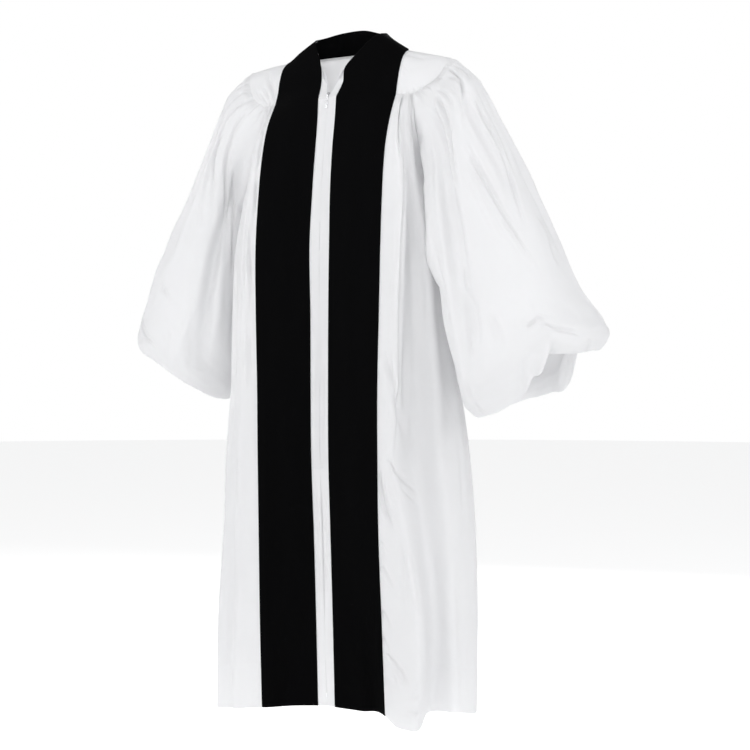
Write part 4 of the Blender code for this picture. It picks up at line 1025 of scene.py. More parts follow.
BACK_V = bordered([-1 + 2 * k / 150 for k in range(151)], 0.0018)
BACK_Z = bordered(spaced([BACK_YOKE_Z, UNDERARM_Z, HEM_Z], 0.0050), 0.0005)


def back_surface():
    points = array_of([[back(v, z) for v in BACK_V] for z in BACK_Z])
    v, z = np.meshgrid(BACK_V, BACK_Z)
    across, down = lengths_across(points), lengths_down(points)
    a, b = v * 0.325, -z
    height = np.zeros(v.shape)
    for path, half_width, depth, ends, skew, crisp in BACK_CREASES:
        fold(height, a, b, [(p * 0.325, -q) for p, q in path], half_width, depth, ends, skew, crisp)
    gathers(height, a, b, -0.275, 0.275, 0.0105, 0.0022, 0.060, 15, at=-BACK_YOKE_Z)
    height += 0.0018 * uneven(a, b, 0.050, 0.160, 81) + 0.0007 * uneven(a, b, 0.022, 0.070, 82) + 0.00022 * uneven(a, b, 0.010, 0.022, 83)
    side_gap = np.minimum(across, across[:, -1:] - across)
    height *= 0.15 + 0.85 * soft(side_gap / 0.020)
    height *= 0.35 + 0.65 * soft((b + BACK_YOKE_Z) / 0.004)
    height -= 0.0007 * np.exp(-((side_gap / 0.0042) ** 2))
    height -= 0.0008 * np.exp(-(((b + BACK_YOKE_Z) / 0.0034) ** 2))
    up = down[-1:] - down
    dimple = 0.55 + 0.45 * np.cos(2 * math.pi * across / 0.0072)
    height -= 0.0011 * np.exp(-(((up - HEM_DEPTH) / 0.0021) ** 2)) * dimple
    height += 0.0004 * soft((HEM_DEPTH - up) / 0.004)
    height -= 0.0005 * np.exp(-((up / 0.0016) ** 2))
    out = normals_of(points, False, 1)
    moved = points + out * height[..., None]
    # its top goes in under the back yoke, its sides under the fronts
    moved[0] = tucked(moved[0], moved[1], out[0])
    moved[:, 0] = tucked(moved[:, 0], moved[:, 1], out[:, 0])
    moved[:, -1] = tucked(moved[:, -1], moved[:, -2], out[:, -1])
    return moved, across, down


moved, a, b = back_surface()
back_piece = surface("back_cloth", moved, False, False, a, b, white)
declare(back_piece, "back")

# ---- back yoke ----
def yoke_back_surface():
    vs = bordered([-1 + 2 * k / 130 for k in range(131)], 0.0024)
    qs = [-0.1, -0.05] + [k / 40 for k in range(40)] + [0.996, 1.0]
    points = array_of([[yoke_back(v, q) for v in vs] for q in qs])
    v, q = np.meshgrid(vs, qs)
    across, down = lengths_across(points), lengths_down(points)
    a, b = across - across[:, 66:67], down
    up = down[-1:] - down
    height = np.zeros(v.shape)
    gathers(height, a, up, -0.17, 0.17, 0.0100, 0.0010, 0.016, 16)
    height += 0.0007 * uneven(a, b, 0.045, 0.040, 91) + 0.0002 * uneven(a, b, 0.012, 0.012, 92)
    side_gap = np.minimum(across, across[:, -1:] - across)
    open_part = soft(q / 0.08)
    height *= (0.2 + 0.8 * soft(side_gap / 0.012)) * open_part
    height -= 0.0007 * np.exp(-((side_gap / 0.0042) ** 2)) * open_part
    height -= 0.0008 * np.exp(-((up / 0.0034) ** 2))
    shoulder = soft((abs(v) - 0.5) / 0.04)
    height -= 0.0013 * np.exp(-((q / 0.02) ** 2)) * shoulder
    out = normals_of(points, False, 1)
    return points + out * height[..., None], across, down


moved, a, b = yoke_back_surface()
yoke_back_piece = surface("yoke_back_cloth", moved, False, False, a, b, white)
declare(yoke_back_piece, "yoke_back")

# ---- sleeves ----
# Creases of a sleeve: a path of (turn, ring); turn is 0 along the top, 0.25 in front, 0.5 underarm and 0.75 behind, ring 0 at the armhole and 10 at the end of the turned-under hem.
SLEEVE_CREASES = {
    1: [
        # path, half_width, depth, ends, skew, crisp
        # the pair of long creases down the front of the sleeve, and the ridge between them
        ([(0.228, 0.45), (0.246, 1.1), (0.256, 2.3), (0.260, 3.3), (0.262, 4.1), (0.266, 4.8)], 0.0085, -0.0085, (0.12, 0.35), 0.25, 0.35),
        ([(0.190, 0.45), (0.216, 1.2), (0.236, 2.3), (0.247, 3.1)], 0.0060, -0.0050, (0.12, 0.5), -0.2, 0.35),
        ([(0.205, 0.45), (0.232, 1.15), (0.246, 2.1)], 0.0050, 0.0030, (0.15, 0.5), 0.0, 0.1),
        # the hollow below them, and the crinkle at its head
        ([(0.278, 4.2), (0.284, 4.9), (0.290, 5.7)], 0.0190, -0.0110, (0.35, 0.45), -0.25, 0.0),
        ([(0.272, 3.85), (0.280, 4.10), (0.289, 4.45)], 0.0042, -0.0036, (0.3, 0.4), 0.2, 0.4),
        ([(0.263, 3.90), (0.268, 4.25), (0.281, 4.60)], 0.0040, 0.0026, (0.3, 0.4), 0.0, 0.1),
        ([(0.300, 4.85), (0.309, 5.35), (0.322, 5.85)], 0.0060, -0.0038, (0.3, 0.4), 0.2, 0.3),
        ([(0.248, 4.90), (0.244, 5.35), (0.252, 5.95)], 0.0060, -0.0036, (0.3, 0.4), -0.2, 0.3),
        # between the armhole and the long creases
        ([(0.285, 0.60), (0.305, 1.6), (0.318, 2.9), (0.330, 4.2)], 0.0130, 0.0030, (0.2, 0.4), 0.0, 0.0),
        ([(0.345, 1.4), (0.362, 3.0), (0.372, 5.0)], 0.0100, -0.0018, (0.3, 0.3), 0.0, 0.0),
        # the full inner side, close to the body
        ([(0.352, 0.22), (0.360, 1.00), (0.374, 2.20)], 0.0150, 0.0040, (0.2, 0.4), 0.0, 0.0),
        ([(0.404, 1.9), (0.413, 3.1), (0.416, 4.6), (0.420, 6.0)], 0.0230, 0.0044, (0.3, 0.35), 0.0, 0.0),
        # across the outer front: the long highlight, and the trough beside it
        ([(0.185, 2.3), (0.170, 2.85), (0.142, 3.75), (0.112, 4.4), (0.094, 4.9)], 0.0060, 0.0042, (0.25, 0.4), 0.2, 0.2),
        ([(0.176, 2.0), (0.158, 2.9), (0.128, 3.9)], 0.0110, -0.0030, (0.35, 0.4), 0.0, 0.0),
        ([(0.205, 2.2), (0.190, 3.2), (0.170, 4.3)], 0.0130, -0.0022, (0.35, 0.4), 0.0, 0.0),
        ([(0.078, 1.30), (0.058, 2.1), (0.050, 2.95), (0.076, 3.65), (0.088, 4.1)], 0.0075, -0.0062, (0.2, 0.35), 0.25, 0.35),
        ([(0.046, 1.20), (0.026, 2.0), (0.034, 2.95), (0.044, 3.5)], 0.0058, -0.0042, (0.2, 0.4), -0.2, 0.3),
        ([(0.062, 1.8), (0.046, 2.5), (0.056, 3.2)], 0.0045, 0.0026, (0.3, 0.4), 0.0, 0.1),
        # behind the top: the shaded back strip
        ([(0.985, 0.50), (0.990, 1.8), (0.996, 2.9), (0.992, 4.0), (0.995, 5.0)], 0.0120, -0.0062, (0.15, 0.3), -0.3, 0.2),
        ([(0.024, 3.80), (0.006, 4.05), (0.012, 4.55), (0.000, 5.0)], 0.0050, -0.0040, (0.2, 0.3), 0.2, 0.4),
        ([(0.946, 1.0), (0.938, 2.4), (0.930, 4.0)], 0.0130, -0.0060, (0.2, 0.4), 0.1, 0.1),
        # creases off the shoulder
        ([(0.062, 0.25), (0.078, 0.60), (0.104, 1.45)], 0.0046, -0.0052, (0.08, 0.5), 0.2, 0.5),
        ([(0.098, 0.35), (0.100, 0.90), (0.120, 1.55)], 0.0042, -0.0030, (0.15, 0.5), 0.0, 0.4),
        ([(0.035, 0.25), (0.036, 0.80), (0.052, 1.30)], 0.0050, -0.0028, (0.1, 0.5), 0.0, 0.3),
        ([(0.165, 0.40), (0.168, 0.85), (0.186, 1.35)], 0.0042, -0.0026, (0.12, 0.5), 0.0, 0.3),
        ([(0.094, 0.78), (0.108, 1.10), (0.126, 1.45)], 0.0040, -0.0034, (0.25, 0.45), 0.0, 0.4),
        ([(0.140, 0.55), (0.140, 1.30), (0.156, 2.1)], 0.0060, -0.0018, (0.2, 0.5), 0.0, 0.2),
        # the puffed lower end
        ([(0.215, 5.35), (0.190, 5.62), (0.160, 5.80), (0.120, 6.05)], 0.0060, 0.0020, (0.3, 0.4), 0.0, 0.0),
        ([(0.200, 5.66), (0.180, 5.78), (0.158, 5.86)], 0.0034, -0.0024, (0.3, 0.3), 0.0, 0.4),
        ([(0.188, 5.98), (0.140, 6.30), (0.082, 6.75)], 0.0046, -0.0032, (0.3, 0.3), 0.1, 0.3),
        ([(0.170, 6.25), (0.120, 6.60), (0.078, 6.98)], 0.0040, -0.0022, (0.3, 0.3), 0.0, 0.3),
        ([(0.220, 6.2), (0.232, 7.0), (0.236, 8.0)], 0.0090, -0.0028, (0.35, 0.2), 0.0, 0.0),
        ([(0.345, 6.2), (0.345, 7.0), (0.335, 8.0)], 0.0080, -0.0030, (0.35, 0.2), 0.0, 0.0),
        ([(0.060, 7.05), (0.050, 7.6), (0.052, 8.2)], 0.0060, -0.0030, (0.3, 0.2), 0.0, 0.2),
        # behind and underneath
        ([(0.88, 0.9), (0.86, 2.6), (0.83, 4.8)], 0.0100, -0.0062, (0.15, 0.4), 0.2, 0.2),
        ([(0.74, 0.5), (0.72, 2.2), (0.69, 4.4)], 0.0095, -0.0064, (0.15, 0.4), -0.1, 0.2),
        ([(0.67, 1.0), (0.65, 2.8), (0.63, 5.2)], 0.0110, -0.0050, (0.2, 0.4), 0.1, 0.1),
        ([(0.80, 3.2), (0.77, 4.8), (0.75, 6.6)], 0.0130, -0.0060, (0.35, 0.3), 0.0, 0.0),
        ([(0.90, 4.0), (0.88, 5.2), (0.87, 6.8)], 0.0130, -0.0050, (0.35, 0.3), 0.0, 0.0),
        ([(0.56, 1.2), (0.55, 3.0), (0.55, 5.6)], 0.0120, -0.0060, (0.25, 0.3), 0.0, 0.1),
        ([(0.475, 1.4), (0.485, 3.4), (0.485, 5.8)], 0.0110, -0.0050, (0.25, 0.3), 0.0, 0.1),
        ([(0.70, 5.6), (0.68, 6.8), (0.69, 8.2)], 0.0100, -0.0044, (0.35, 0.2), 0.1, 0.1),
        ([(0.58, 5.8), (0.59, 7.0), (0.58, 8.4)], 0.0100, -0.0044, (0.35, 0.2), 0.0, 0.1),
        ([(0.82, 6.4), (0.83, 7.3), (0.82, 8.4)], 0.0090, -0.0040, (0.35, 0.2), 0.0, 0.1),
        ([(0.94, 6.6), (0.95, 7.4), (0.94, 8.3)], 0.0080, -0.0036, (0.35, 0.2), 0.0, 0.1),
    ],
    -1: [
        # path, half_width, depth, ends, skew, crisp
        # the dark slit beside the body
        ([(0.290, 1.00), (0.345, 1.45), (0.390, 2.35), (0.420, 3.25), (0.430, 3.70)], 0.0050, -0.0048, (0.12, 0.3), 0.2, 0.4),
        ([(0.425, 3.30), (0.450, 4.20), (0.474, 5.25), (0.495, 6.20)], 0.0130, -0.0020, (0.3, 0.3), 0.0, 0.1),
        ([(0.286, 1.0), (0.330, 1.9), (0.372, 3.1), (0.388, 4.4)], 0.0075, 0.0034, (0.25, 0.4), 0.0, 0.1),
        ([(0.190, 1.0), (0.206, 1.9), (0.262, 2.3), (0.318, 2.7)], 0.0080, -0.0034, (0.2, 0.45), 0.1, 0.2),
        ([(0.225, 0.8), (0.262, 1.3), (0.322, 1.9), (0.365, 2.8)], 0.0060, -0.0042, (0.15, 0.4), 0.2, 0.3),
        ([(0.165, 1.6), (0.205, 2.6), (0.268, 3.3)], 0.0090, 0.0026, (0.3, 0.4), 0.0, 0.1),
        ([(0.120, 1.2), (0.135, 2.4), (0.170, 3.6), (0.225, 4.3)], 0.0140, -0.0032, (0.25, 0.35), 0.0, 0.0),
        ([(0.110, 3.0), (0.160, 3.8), (0.190, 4.6)], 0.0150, -0.0024, (0.35, 0.4), 0.0, 0.0),
        # the crinkle, and the turned hem's line at the outer end
        ([(0.196, 4.80), (0.216, 4.90), (0.238, 5.02)], 0.0036, 0.0030, (0.3, 0.3), 0.0, 0.2),
        ([(0.176, 4.66), (0.190, 4.80), (0.200, 5.02)], 0.0040, -0.0026, (0.3, 0.3), 0.0, 0.3),
        ([(0.100, 6.10), (0.150, 6.24), (0.205, 6.46), (0.252, 6.62)], 0.0034, 0.0026, (0.15, 0.4), 0.3, 0.2),
        ([(0.104, 6.34), (0.152, 6.46), (0.205, 6.66), (0.250, 6.82)], 0.0040, -0.0028, (0.15, 0.4), 0.0, 0.3),
        ([(0.255, 5.6), (0.270, 6.3), (0.285, 7.2)], 0.0110, -0.0026, (0.35, 0.3), 0.0, 0.0),
        ([(0.330, 5.4), (0.345, 6.3), (0.350, 7.2)], 0.0110, -0.0018, (0.35, 0.3), 0.0, 0.0),
        ([(0.300, 4.6), (0.305, 5.6), (0.312, 6.8)], 0.0120, 0.0030, (0.35, 0.35), 0.0, 0.0),
        # off the shoulder
        ([(0.060, 0.30), (0.080, 0.80), (0.120, 1.60)], 0.0048, -0.0042, (0.08, 0.5), 0.2, 0.4),
        ([(0.105, 0.35), (0.128, 0.80), (0.150, 1.60)], 0.0044, -0.0036, (0.1, 0.5), 0.0, 0.4),
        ([(0.150, 0.35), (0.170, 0.75), (0.190, 1.35)], 0.0042, -0.0036, (0.1, 0.5), 0.0, 0.4),
        ([(0.200, 0.40), (0.226, 0.80), (0.262, 1.20)], 0.0042, -0.0032, (0.1, 0.5), 0.0, 0.4),
        ([(0.020, 0.40), (0.025, 1.30), (0.040, 2.60)], 0.0070, -0.0042, (0.1, 0.5), 0.1, 0.2),
        # outside, behind and underneath
        ([(0.020, 2.4), (0.030, 4.0), (0.050, 5.8)], 0.0140, -0.0050, (0.35, 0.35), 0.0, 0.0),
        ([(0.955, 0.8), (0.950, 2.4), (0.945, 4.2)], 0.0100, -0.0060, (0.15, 0.4), 0.2, 0.2),
        ([(0.87, 0.8), (0.86, 2.6), (0.84, 4.8)], 0.0100, -0.0064, (0.15, 0.4), -0.2, 0.2),
        ([(0.81, 1.2), (0.80, 3.0), (0.77, 5.2)], 0.0120, -0.0056, (0.2, 0.4), 0.1, 0.1),
        ([(0.72, 0.5), (0.72, 2.2), (0.70, 4.4)], 0.0095, -0.0060, (0.15, 0.4), 0.0, 0.2),
        ([(0.66, 1.2), (0.64, 3.0), (0.63, 5.4)], 0.0110, -0.0052, (0.2, 0.4), 0.1, 0.1),
        ([(0.56, 1.2), (0.55, 3.0), (0.55, 5.6)], 0.0120, -0.0060, (0.25, 0.3), 0.0, 0.1),
        ([(0.46, 1.4), (0.465, 3.4), (0.47, 5.8)], 0.0110, -0.0026, (0.25, 0.3), 0.0, 0.1),
        ([(0.350, 2.5), (0.382, 4.0), (0.418, 5.6)], 0.0210, 0.0040, (0.3, 0.35), 0.0, 0.0),
        ([(0.90, 4.2), (0.89, 5.4), (0.88, 7.0)], 0.0120, -0.0050, (0.35, 0.3), 0.0, 0.0),
        ([(0.70, 5.4), (0.69, 6.6), (0.70, 8.2)], 0.0100, -0.0044, (0.35, 0.2), 0.0, 0.1),
        ([(0.58, 5.6), (0.59, 6.8), (0.58, 8.4)], 0.0100, -0.0044, (0.35, 0.2), 0.0, 0.1),
        ([(0.97, 6.0), (0.98, 7.0), (0.97, 8.2)], 0.0090, -0.0038, (0.35, 0.2), 0.0, 0.1),
    ],
}
# Gathers at a sleeve's head: from and to in turns, seen from the shoulder tip.
SLEEVE_GATHERS = {
    1: [(0.035, 0.245, 0.0095, 0.0040, 0.036, 101), (0.74, 0.985, 0.0100, 0.0034, 0.045, 102)],
    -1: [(0.015, 0.270, 0.0095, 0.0042, 0.038, 103), (0.74, 0.985, 0.0100, 0.0034, 0.045, 104)],
}
SLEEVE_COLUMNS = 184
SLEEVE_RING_ROWS = bordered([10 * (k / 166) for k in range(167)], 0.006)


def sleeve_surface(side):
    turns = [j / SLEEVE_COLUMNS for j in range(SLEEVE_COLUMNS)]
    rings = [[ring_point(side, turn, i) for turn in turns] for i in range(11)]
    knots = list(range(11))
    base = array_of([[through(knots, [rings[i][j] for i in range(11)], ring) for j in range(SLEEVE_COLUMNS)] for ring in SLEEVE_RING_ROWS])
    t, r = np.meshgrid(turns, SLEEVE_RING_ROWS)
    out = normals_of(base, True, side)
    if (out[60, 0] @ np.array([side, 0.0, 0.4])) < 0:
        out = -out
    large = np.array([[sleeve_fold(side, turn, ring) for turn in turns] for ring in SLEEVE_RING_ROWS])
    points = base + out * large[..., None]
    around = np.linalg.norm(np.roll(points, -1, axis=1) - points, axis=2).sum(axis=1, keepdims=True)
    around = around * np.ones_like(t)
    down = lengths_down(points)
    height = np.zeros(t.shape)

    def local(turn_ref):
        column = int(round(turn_ref * SLEEVE_COLUMNS)) % SLEEVE_COLUMNS
        a = ((t - turn_ref + 0.5) % 1.0 - 0.5) * around
        b = np.repeat(down[:, column : column + 1], SLEEVE_COLUMNS, axis=1)
        return a, b

    def place(path, turn_ref):
        column = int(round(turn_ref * SLEEVE_COLUMNS)) % SLEEVE_COLUMNS
        found = []
        for turn, ring in path:
            girth = np.interp(ring, SLEEVE_RING_ROWS, around[:, 0])
            found.append((((turn - turn_ref + 0.5) % 1.0 - 0.5) * girth, np.interp(ring, SLEEVE_RING_ROWS, down[:, column])))
        return found

    for path, half_width, depth, ends, skew, crisp in SLEEVE_CREASES[side]:
        turn_ref = path[len(path) // 2][0]
        a, b = local(turn_ref)
        fold(height, a, b, place(path, turn_ref), half_width, depth * 1.45, ends, skew * -side, crisp)
    for start, end, spacing, depth, length, seed in SLEEVE_GATHERS[side]:
        middle = (start + end) / 2
        a, b = local(middle)
        a = ((t - middle + 0.5) % 1.0 - 0.5) * around[0, 0]
        reach = (end - start) / 2 * around[0, 0]
        gathers(height, a, b, -reach, reach, spacing, depth, length, seed)
    a, b = local(0.25)
    arc = t * 2 * math.pi
    wrap_a = np.sin(arc) * 0.11 + 0.5
    wrap_b = np.cos(arc) * 0.11 + 0.5
    height += 0.0018 * uneven(wrap_a + 0.12 * r, wrap_b + 0.0 * r, 0.052, 0.052, 111 + side) * soft(r / 1.5)
    height += 0.0012 * uneven(wrap_a, r * 0.075, 0.024, 0.060, 121 + side)
    height += 0.0012 * uneven(wrap_b, r * 0.075, 0.024, 0.060, 131 + side)
    height += 0.0003 * uneven(t * 0.62, r * 0.075, 0.010, 0.016, 141 + side) * soft(t / 0.02) * soft((1 - t) / 0.02)
    top = lengths_down(points)
    height *= 0.2 + 0.8 * soft(top / 0.009)
    # the head is eased into the armhole, so it puffs just past the seam
    upper = soft((0.30 - np.minimum(t, 1 - t)) / 0.12)
    height += 0.0026 * upper * np.exp(-(((top - 0.016) / 0.011) ** 2)) * soft(top / 0.008)
    height -= 0.0004 * np.exp(-((top / 0.0050) ** 2))
    up = top[-1:] - top
    height *= 0.3 + 0.7 * soft(up / 0.010)
    height -= 0.0005 * np.exp(-((up / 0.0016) ** 2))
    out = normals_of(points, True, side)
    if (out[60, 0] @ np.array([side, 0.0, 0.4])) < 0:
        out = -out
    moved = points + out * height[..., None]
    # its edge goes in under the yokes, the front and the back
    moved[0] = tucked(moved[0], moved[1], out[0])
    return moved, t * around, down


for side, word in ((1, "left"), (-1, "right")):
    moved, a, b = sleeve_surface(side)
    piece = surface(f"sleeve_{word}_cloth", moved, True, side < 0, a, b, white)
    declare(piece, f"sleeve_{word}")

# ---- velvet panels and neck band ----
VELVET_F = [0.0205 + d for d in (0.0, 0.0005, 0.0011, 0.0019, 0.0030)] + spaced([0.0245, 0.1445], 0.0048) + [0.1485 - d for d in (0.0030, 0.0019, 0.0011, 0.0005, 0.0)]


def rolled(gap, radius, drop):
    """How far a rounded edge has sunk at this distance from it."""
    x = 1 - np.clip(gap / radius, 0, 1)
    return drop * (1 - np.sqrt(np.maximum(0.0, 1 - x * x)))


def velvet_surface(side):
    rows = [front_row(side, VELVET_F, z) for z in spaced([HEM_Z, UNDERARM_Z, YOKE_Z], 0.0052)]
    seam = len(rows) - 1
    for k in range(1, 41):
        # round the neck the velvet reaches the opening's edge
        reach = 0.0205 - neck_edge(5 * k / 40)
        rows.append(yoke_row(side, [f - reach * (1 - (f - 0.0205) / 0.128) ** 3 for f in VELVET_F], 5 * k / 40))
    points = array_of(rows)
    across, down = lengths_across(points), lengths_down(points)
    out = normals_of(points, False, side)
    a, b = across, down
    edge_gap = np.minimum(across, across[:, -1:] - across)
    top_gap = down[-1:] - down
    height = np.full(across.shape, LIFT + VELVET)
    height += 0.0007 * uneven(a, b, 0.045, 0.150, 151 + side) * soft(edge_gap / 0.02)
    height += 0.00025 * uneven(a, b, 0.020, 0.045, 161 + side) * soft(edge_gap / 0.01)
    # turned-under edges, flat where they are stitched down
    height -= 0.0003 * np.exp(-(((edge_gap - 0.0052) / 0.0012) ** 2))
    height -= rolled(edge_gap, 0.0026, 0.0016)
    height -= rolled(top_gap, 0.0022, 0.0010)
    height -= rolled(down, 0.0022, 0.0014)
    moved = points + out * height[..., None]
    return moved, a, b


for side, word in ((1, "left"), (-1, "right")):
    moved, a, b = velvet_surface(side)
    piece = surface(f"velvet_{word}_pile", moved, False, side < 0, a, b, black, thickness=0.0009)
    declare(piece, f"velvet_{word}")


def collar_surface():
    parts = [-1 + 2 * k / 110 for k in range(111)]
    shares = [0.0, 0.01, 0.025, 0.05] + [0.05 + 0.90 * k / 16 for k in range(1, 16)] + [0.95, 0.975, 0.99, 1.0]
    points = array_of([[band(part, share) for part in parts] for share in shares])
    across, down = lengths_across(points), lengths_down(points)
    out = normals_of(points, False, 1)
    if out[10, 55] @ np.array([0.0, 1.0, 0.5]) < 0:
        out = -out
    low_gap, high_gap = down, down[-1:] - down
    end_gap = np.minimum(across, across[:, -1:] - across)
    height = np.full(across.shape, BAND_LIFT + VELVET - 0.0002)
    height += 0.0006 * uneven(across, down, 0.040, 0.030, 171) * soft(low_gap / 0.01) * soft(high_gap / 0.01)
    height -= rolled(low_gap, 0.0030, 0.0017)
    height -= rolled(high_gap, 0.0034, 0.0012)
    height -= rolled(end_gap, 0.0022, 0.0010)
    return points + out * height[..., None], across, down


moved, a, b = collar_surface()
collar_piece = surface("velvet_collar_pile", moved, False, True, a, b, black, thickness=0.0014)
declare(collar_piece, "velvet_collar")


# ---- zip: tapes, teeth, slider and pull ----
def tape_edge(side, z, row):
    """The front's edge, the way over the cloth from it, and the way out."""
    def at(f):
        return yoke(side, f, row) if row > 0 else front(side, f, z)

    point, further = at(0.0), at(0.004)
    if row > 0:
        above, below = yoke(side, 0.0, min(row + 0.05, 5)), yoke(side, 0.0, row - 0.05)
    else:
        above, below = front(side, 0.0, min(z + 0.004, YOKE_Z)), front(side, 0.0, min(z + 0.004, YOKE_Z) - 0.008)
    over = (further - point).normalized()
    up = (above - below).normalized()
    out = over.cross(up).normalized() * side
    return point, over, up, out


def tape_stations(step):
    """Heights down the zip, about evenly spaced: (z, row), the row being over 0 above the yoke seam."""
    found = []
    count = round((YOKE_Z - ZIP_END_Z) / step)
    for k in range(count + 1):
        found.append((ZIP_END_Z + (YOKE_Z - ZIP_END_Z) * k / count, 0))
    upper = (yoke(1, 0.0, 2) - yoke(1, 0.0, 0)).length
    count = round(upper / step)
    for k in range(1, count + 1):
        found.append((0, 2.0 * k / count))
    return found


for side, word in ((1, "left"), (-1, "right")):
    rows = []
    for z, row in tape_stations(0.006):
        point, over, up, out = tape_edge(side, z, row)
        shown = 0.004 * min(row, 1.0)
        level = -(CLOTH + 2 * LIFT)
        line = []
        for k in range(9):
            d = -shown + 0.0002 + (TAPE_WIDTH + shown - 0.0004) * k / 8
            target = point + over * d
            if d > 0.004:
                base = yoke(side, 0.0, row) if row > 0 else front(side, 0.0, z)
                target = (yoke(side, d, row) if row > 0 else front(side, d, z)) if d > 0 else base
            line.append(target + out * level)
        rows.append(line)
    points = array_of(rows)
    tape = surface(f"zip_tape_{word}_woven", points, False, side < 0, lengths_across(points), lengths_down(points), tape_cloth, thickness=0.0006)
    declare(tape, f"zip_tape_{word}")


def tooth_mesh():
    """One moulded tooth: a rounded block with a head, along x from the tape to the middle."""
    shape = bmesh.new()
    bmesh.ops.create_cube(shape, size=1.0)
    for v in shape.verts:
        v.co.x *= 0.0021
        v.co.y *= 0.00075
        v.co.z *= 0.0017
        if v.co.x > 0:
            v.co.z *= 0.78
    bmesh.ops.bevel(shape, geom=list(shape.edges), offset=0.00018, segments=1, affect="EDGES")
    co = np.array([tuple(v.co) for v in shape.verts])
    shape.verts.index_update()
    faces = [[v.index for v in face.verts] for face in shape.faces]
    shape.free()
    return co, faces


TOOTH_PITCH = 0.0015
tooth_co, tooth_faces = tooth_mesh()
for side, word in ((1, "left"), (-1, "right")):
    verts, faces = [], []
    stations = tape_stations(TOOTH_PITCH)
    for k, (z, row) in enumerate(stations):
        if side < 0:
            if k + 1 >= len(stations):
                break
            nz, nrow = stations[k + 1]
            if row == 0 and nrow > 0:
                continue
            z, row = (z + nz) / 2 if row == 0 else 0, (row + nrow) / 2 if row > 0 else 0
        point, over, up, out = tape_edge(side, z, row)
        shown = 0.004 * min(row, 1.0)
        reach = 0.0004 * (1 - min(row * 2.5, 1.0))
        middle = point + over * (-shown - reach + 0.0006) + out * (-(CLOTH + 2 * LIFT) - 0.0003 + 0.0004 * min(row, 1.0))
        place = np.array([tuple(-over), tuple(up), tuple(out)])
        start = len(verts)
        verts.extend((tooth_co @ place + np.array(tuple(middle))).tolist())
        turned = np.linalg.det(place) < 0
        faces.extend([[start + i for i in (face[::-1] if turned else face)] for face in tooth_faces])
    mesh = bpy.data.meshes.new(f"zip_teeth_{word}")
    mesh.from_pydata(verts, [], faces)
    mesh.materials.append(plastic)
    mesh.shade_smooth()
    mesh.set_sharp_from_angle(angle=math.radians(50))
    teeth = bpy.data.objects.new(f"zip_teeth_{word}", mesh)
    bpy.context.scene.collection.objects.link(teeth)
    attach(teeth, "robe")

slider_at = yoke(1, 0.0, 0.25)
slider_at.x = 0.0
slider_up = yoke(1, 0.0, 0.6) - yoke(1, 0.0, 0.05)
slider_up.x = 0.0
slider_up.normalize()
slider_out = Vector((1, 0, 0)).cross(slider_up)
slider_frame = Matrix((Vector((1, 0, 0)), slider_up, slider_out)).transposed().to_4x4()
slider_frame.translation = slider_at
PIN_UP, PIN_OUT = -0.0010, 0.0038


def plate(shape, outline, low, high, hole=None):
    """A flat plate from an outline in the x, up plane, between two levels, with a hole if given."""
    before = set(shape.verts)
    rings = []
    for level in (low, high):
        rings.append([shape.verts.new((x, y, level)) for x, y in outline])
    if hole:
        holes = []
        for level in (low, high):
            holes.append([shape.verts.new((x, y, level)) for x, y in hole])
        n = len(outline)
        for k in range(n):
            m = (k + 1) % n
            shape.faces.new((rings[1][k], rings[1][m], holes[1][m], holes[1][k]))
            shape.faces.new((rings[0][m], rings[0][k], holes[0][k], holes[0][m]))
            shape.faces.new((holes[0][k], holes[1][k], holes[1][m], holes[0][m]))
            shape.faces.new((rings[0][k], rings[0][m], rings[1][m], rings[1][k]))
    else:
        n = len(outline)
        shape.faces.new(rings[1])
        shape.faces.new(rings[0][::-1])
        for k in range(n):
            m = (k + 1) % n
            shape.faces.new((rings[0][k], rings[0][m], rings[1][m], rings[1][k]))
    return [v for v in shape.verts if v not in before]


def rounded_outline(half_width, low, high, radius, count=6, taper=0.0):
    """A rounded rectangle, narrower at its low end by taper."""
    points = []
    for cx, cy, start in ((1, 1, 0), (-1, 1, 90), (-1, -1, 180), (1, -1, 270)):
        half = half_width - (taper if cy < 0 else 0.0)
        y = high if cy > 0 else low
        for k in range(count + 1):
            angle = math.radians(start + 90 * k / count)
            points.append((cx * (half - radius) + radius * math.cos(angle), y - cy * radius + radius * math.sin(angle)))
    return points


def bar(shape, radius, low, high, middle, sides=20):
    """A round bar along x."""
    made = bmesh.ops.create_cone(shape, cap_ends=True, segments=sides, radius1=radius, radius2=radius, depth=high - low)
    turn = Matrix.Translation(((low + high) / 2, middle[0], middle[1])) @ Matrix.Rotation(math.pi / 2, 4, "Y")
    bmesh.ops.transform(shape, matrix=turn, verts=made["verts"])


def finish_metal(name, shape, bevel, matrix, body, node):
    mesh = bpy.data.meshes.new(name)
    bmesh.ops.recalc_face_normals(shape, faces=list(shape.faces))
    shape.to_mesh(mesh)
    shape.free()
    mesh.materials.append(metal)
    mesh.shade_smooth()
    mesh.set_sharp_from_angle(angle=math.radians(40))
    thing = bpy.data.objects.new(name, mesh)
    bpy.context.scene.collection.objects.link(thing)
    thing.matrix_world = matrix
    if bevel:
        edge = thing.modifiers.new("edge", "BEVEL")
        edge.width = bevel
        edge.segments = 2
        edge.limit_method = "ANGLE"
        edge.angle_limit = math.radians(40)
        edge.harden_normals = False
    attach(thing, body)
    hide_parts(node)
    return thing


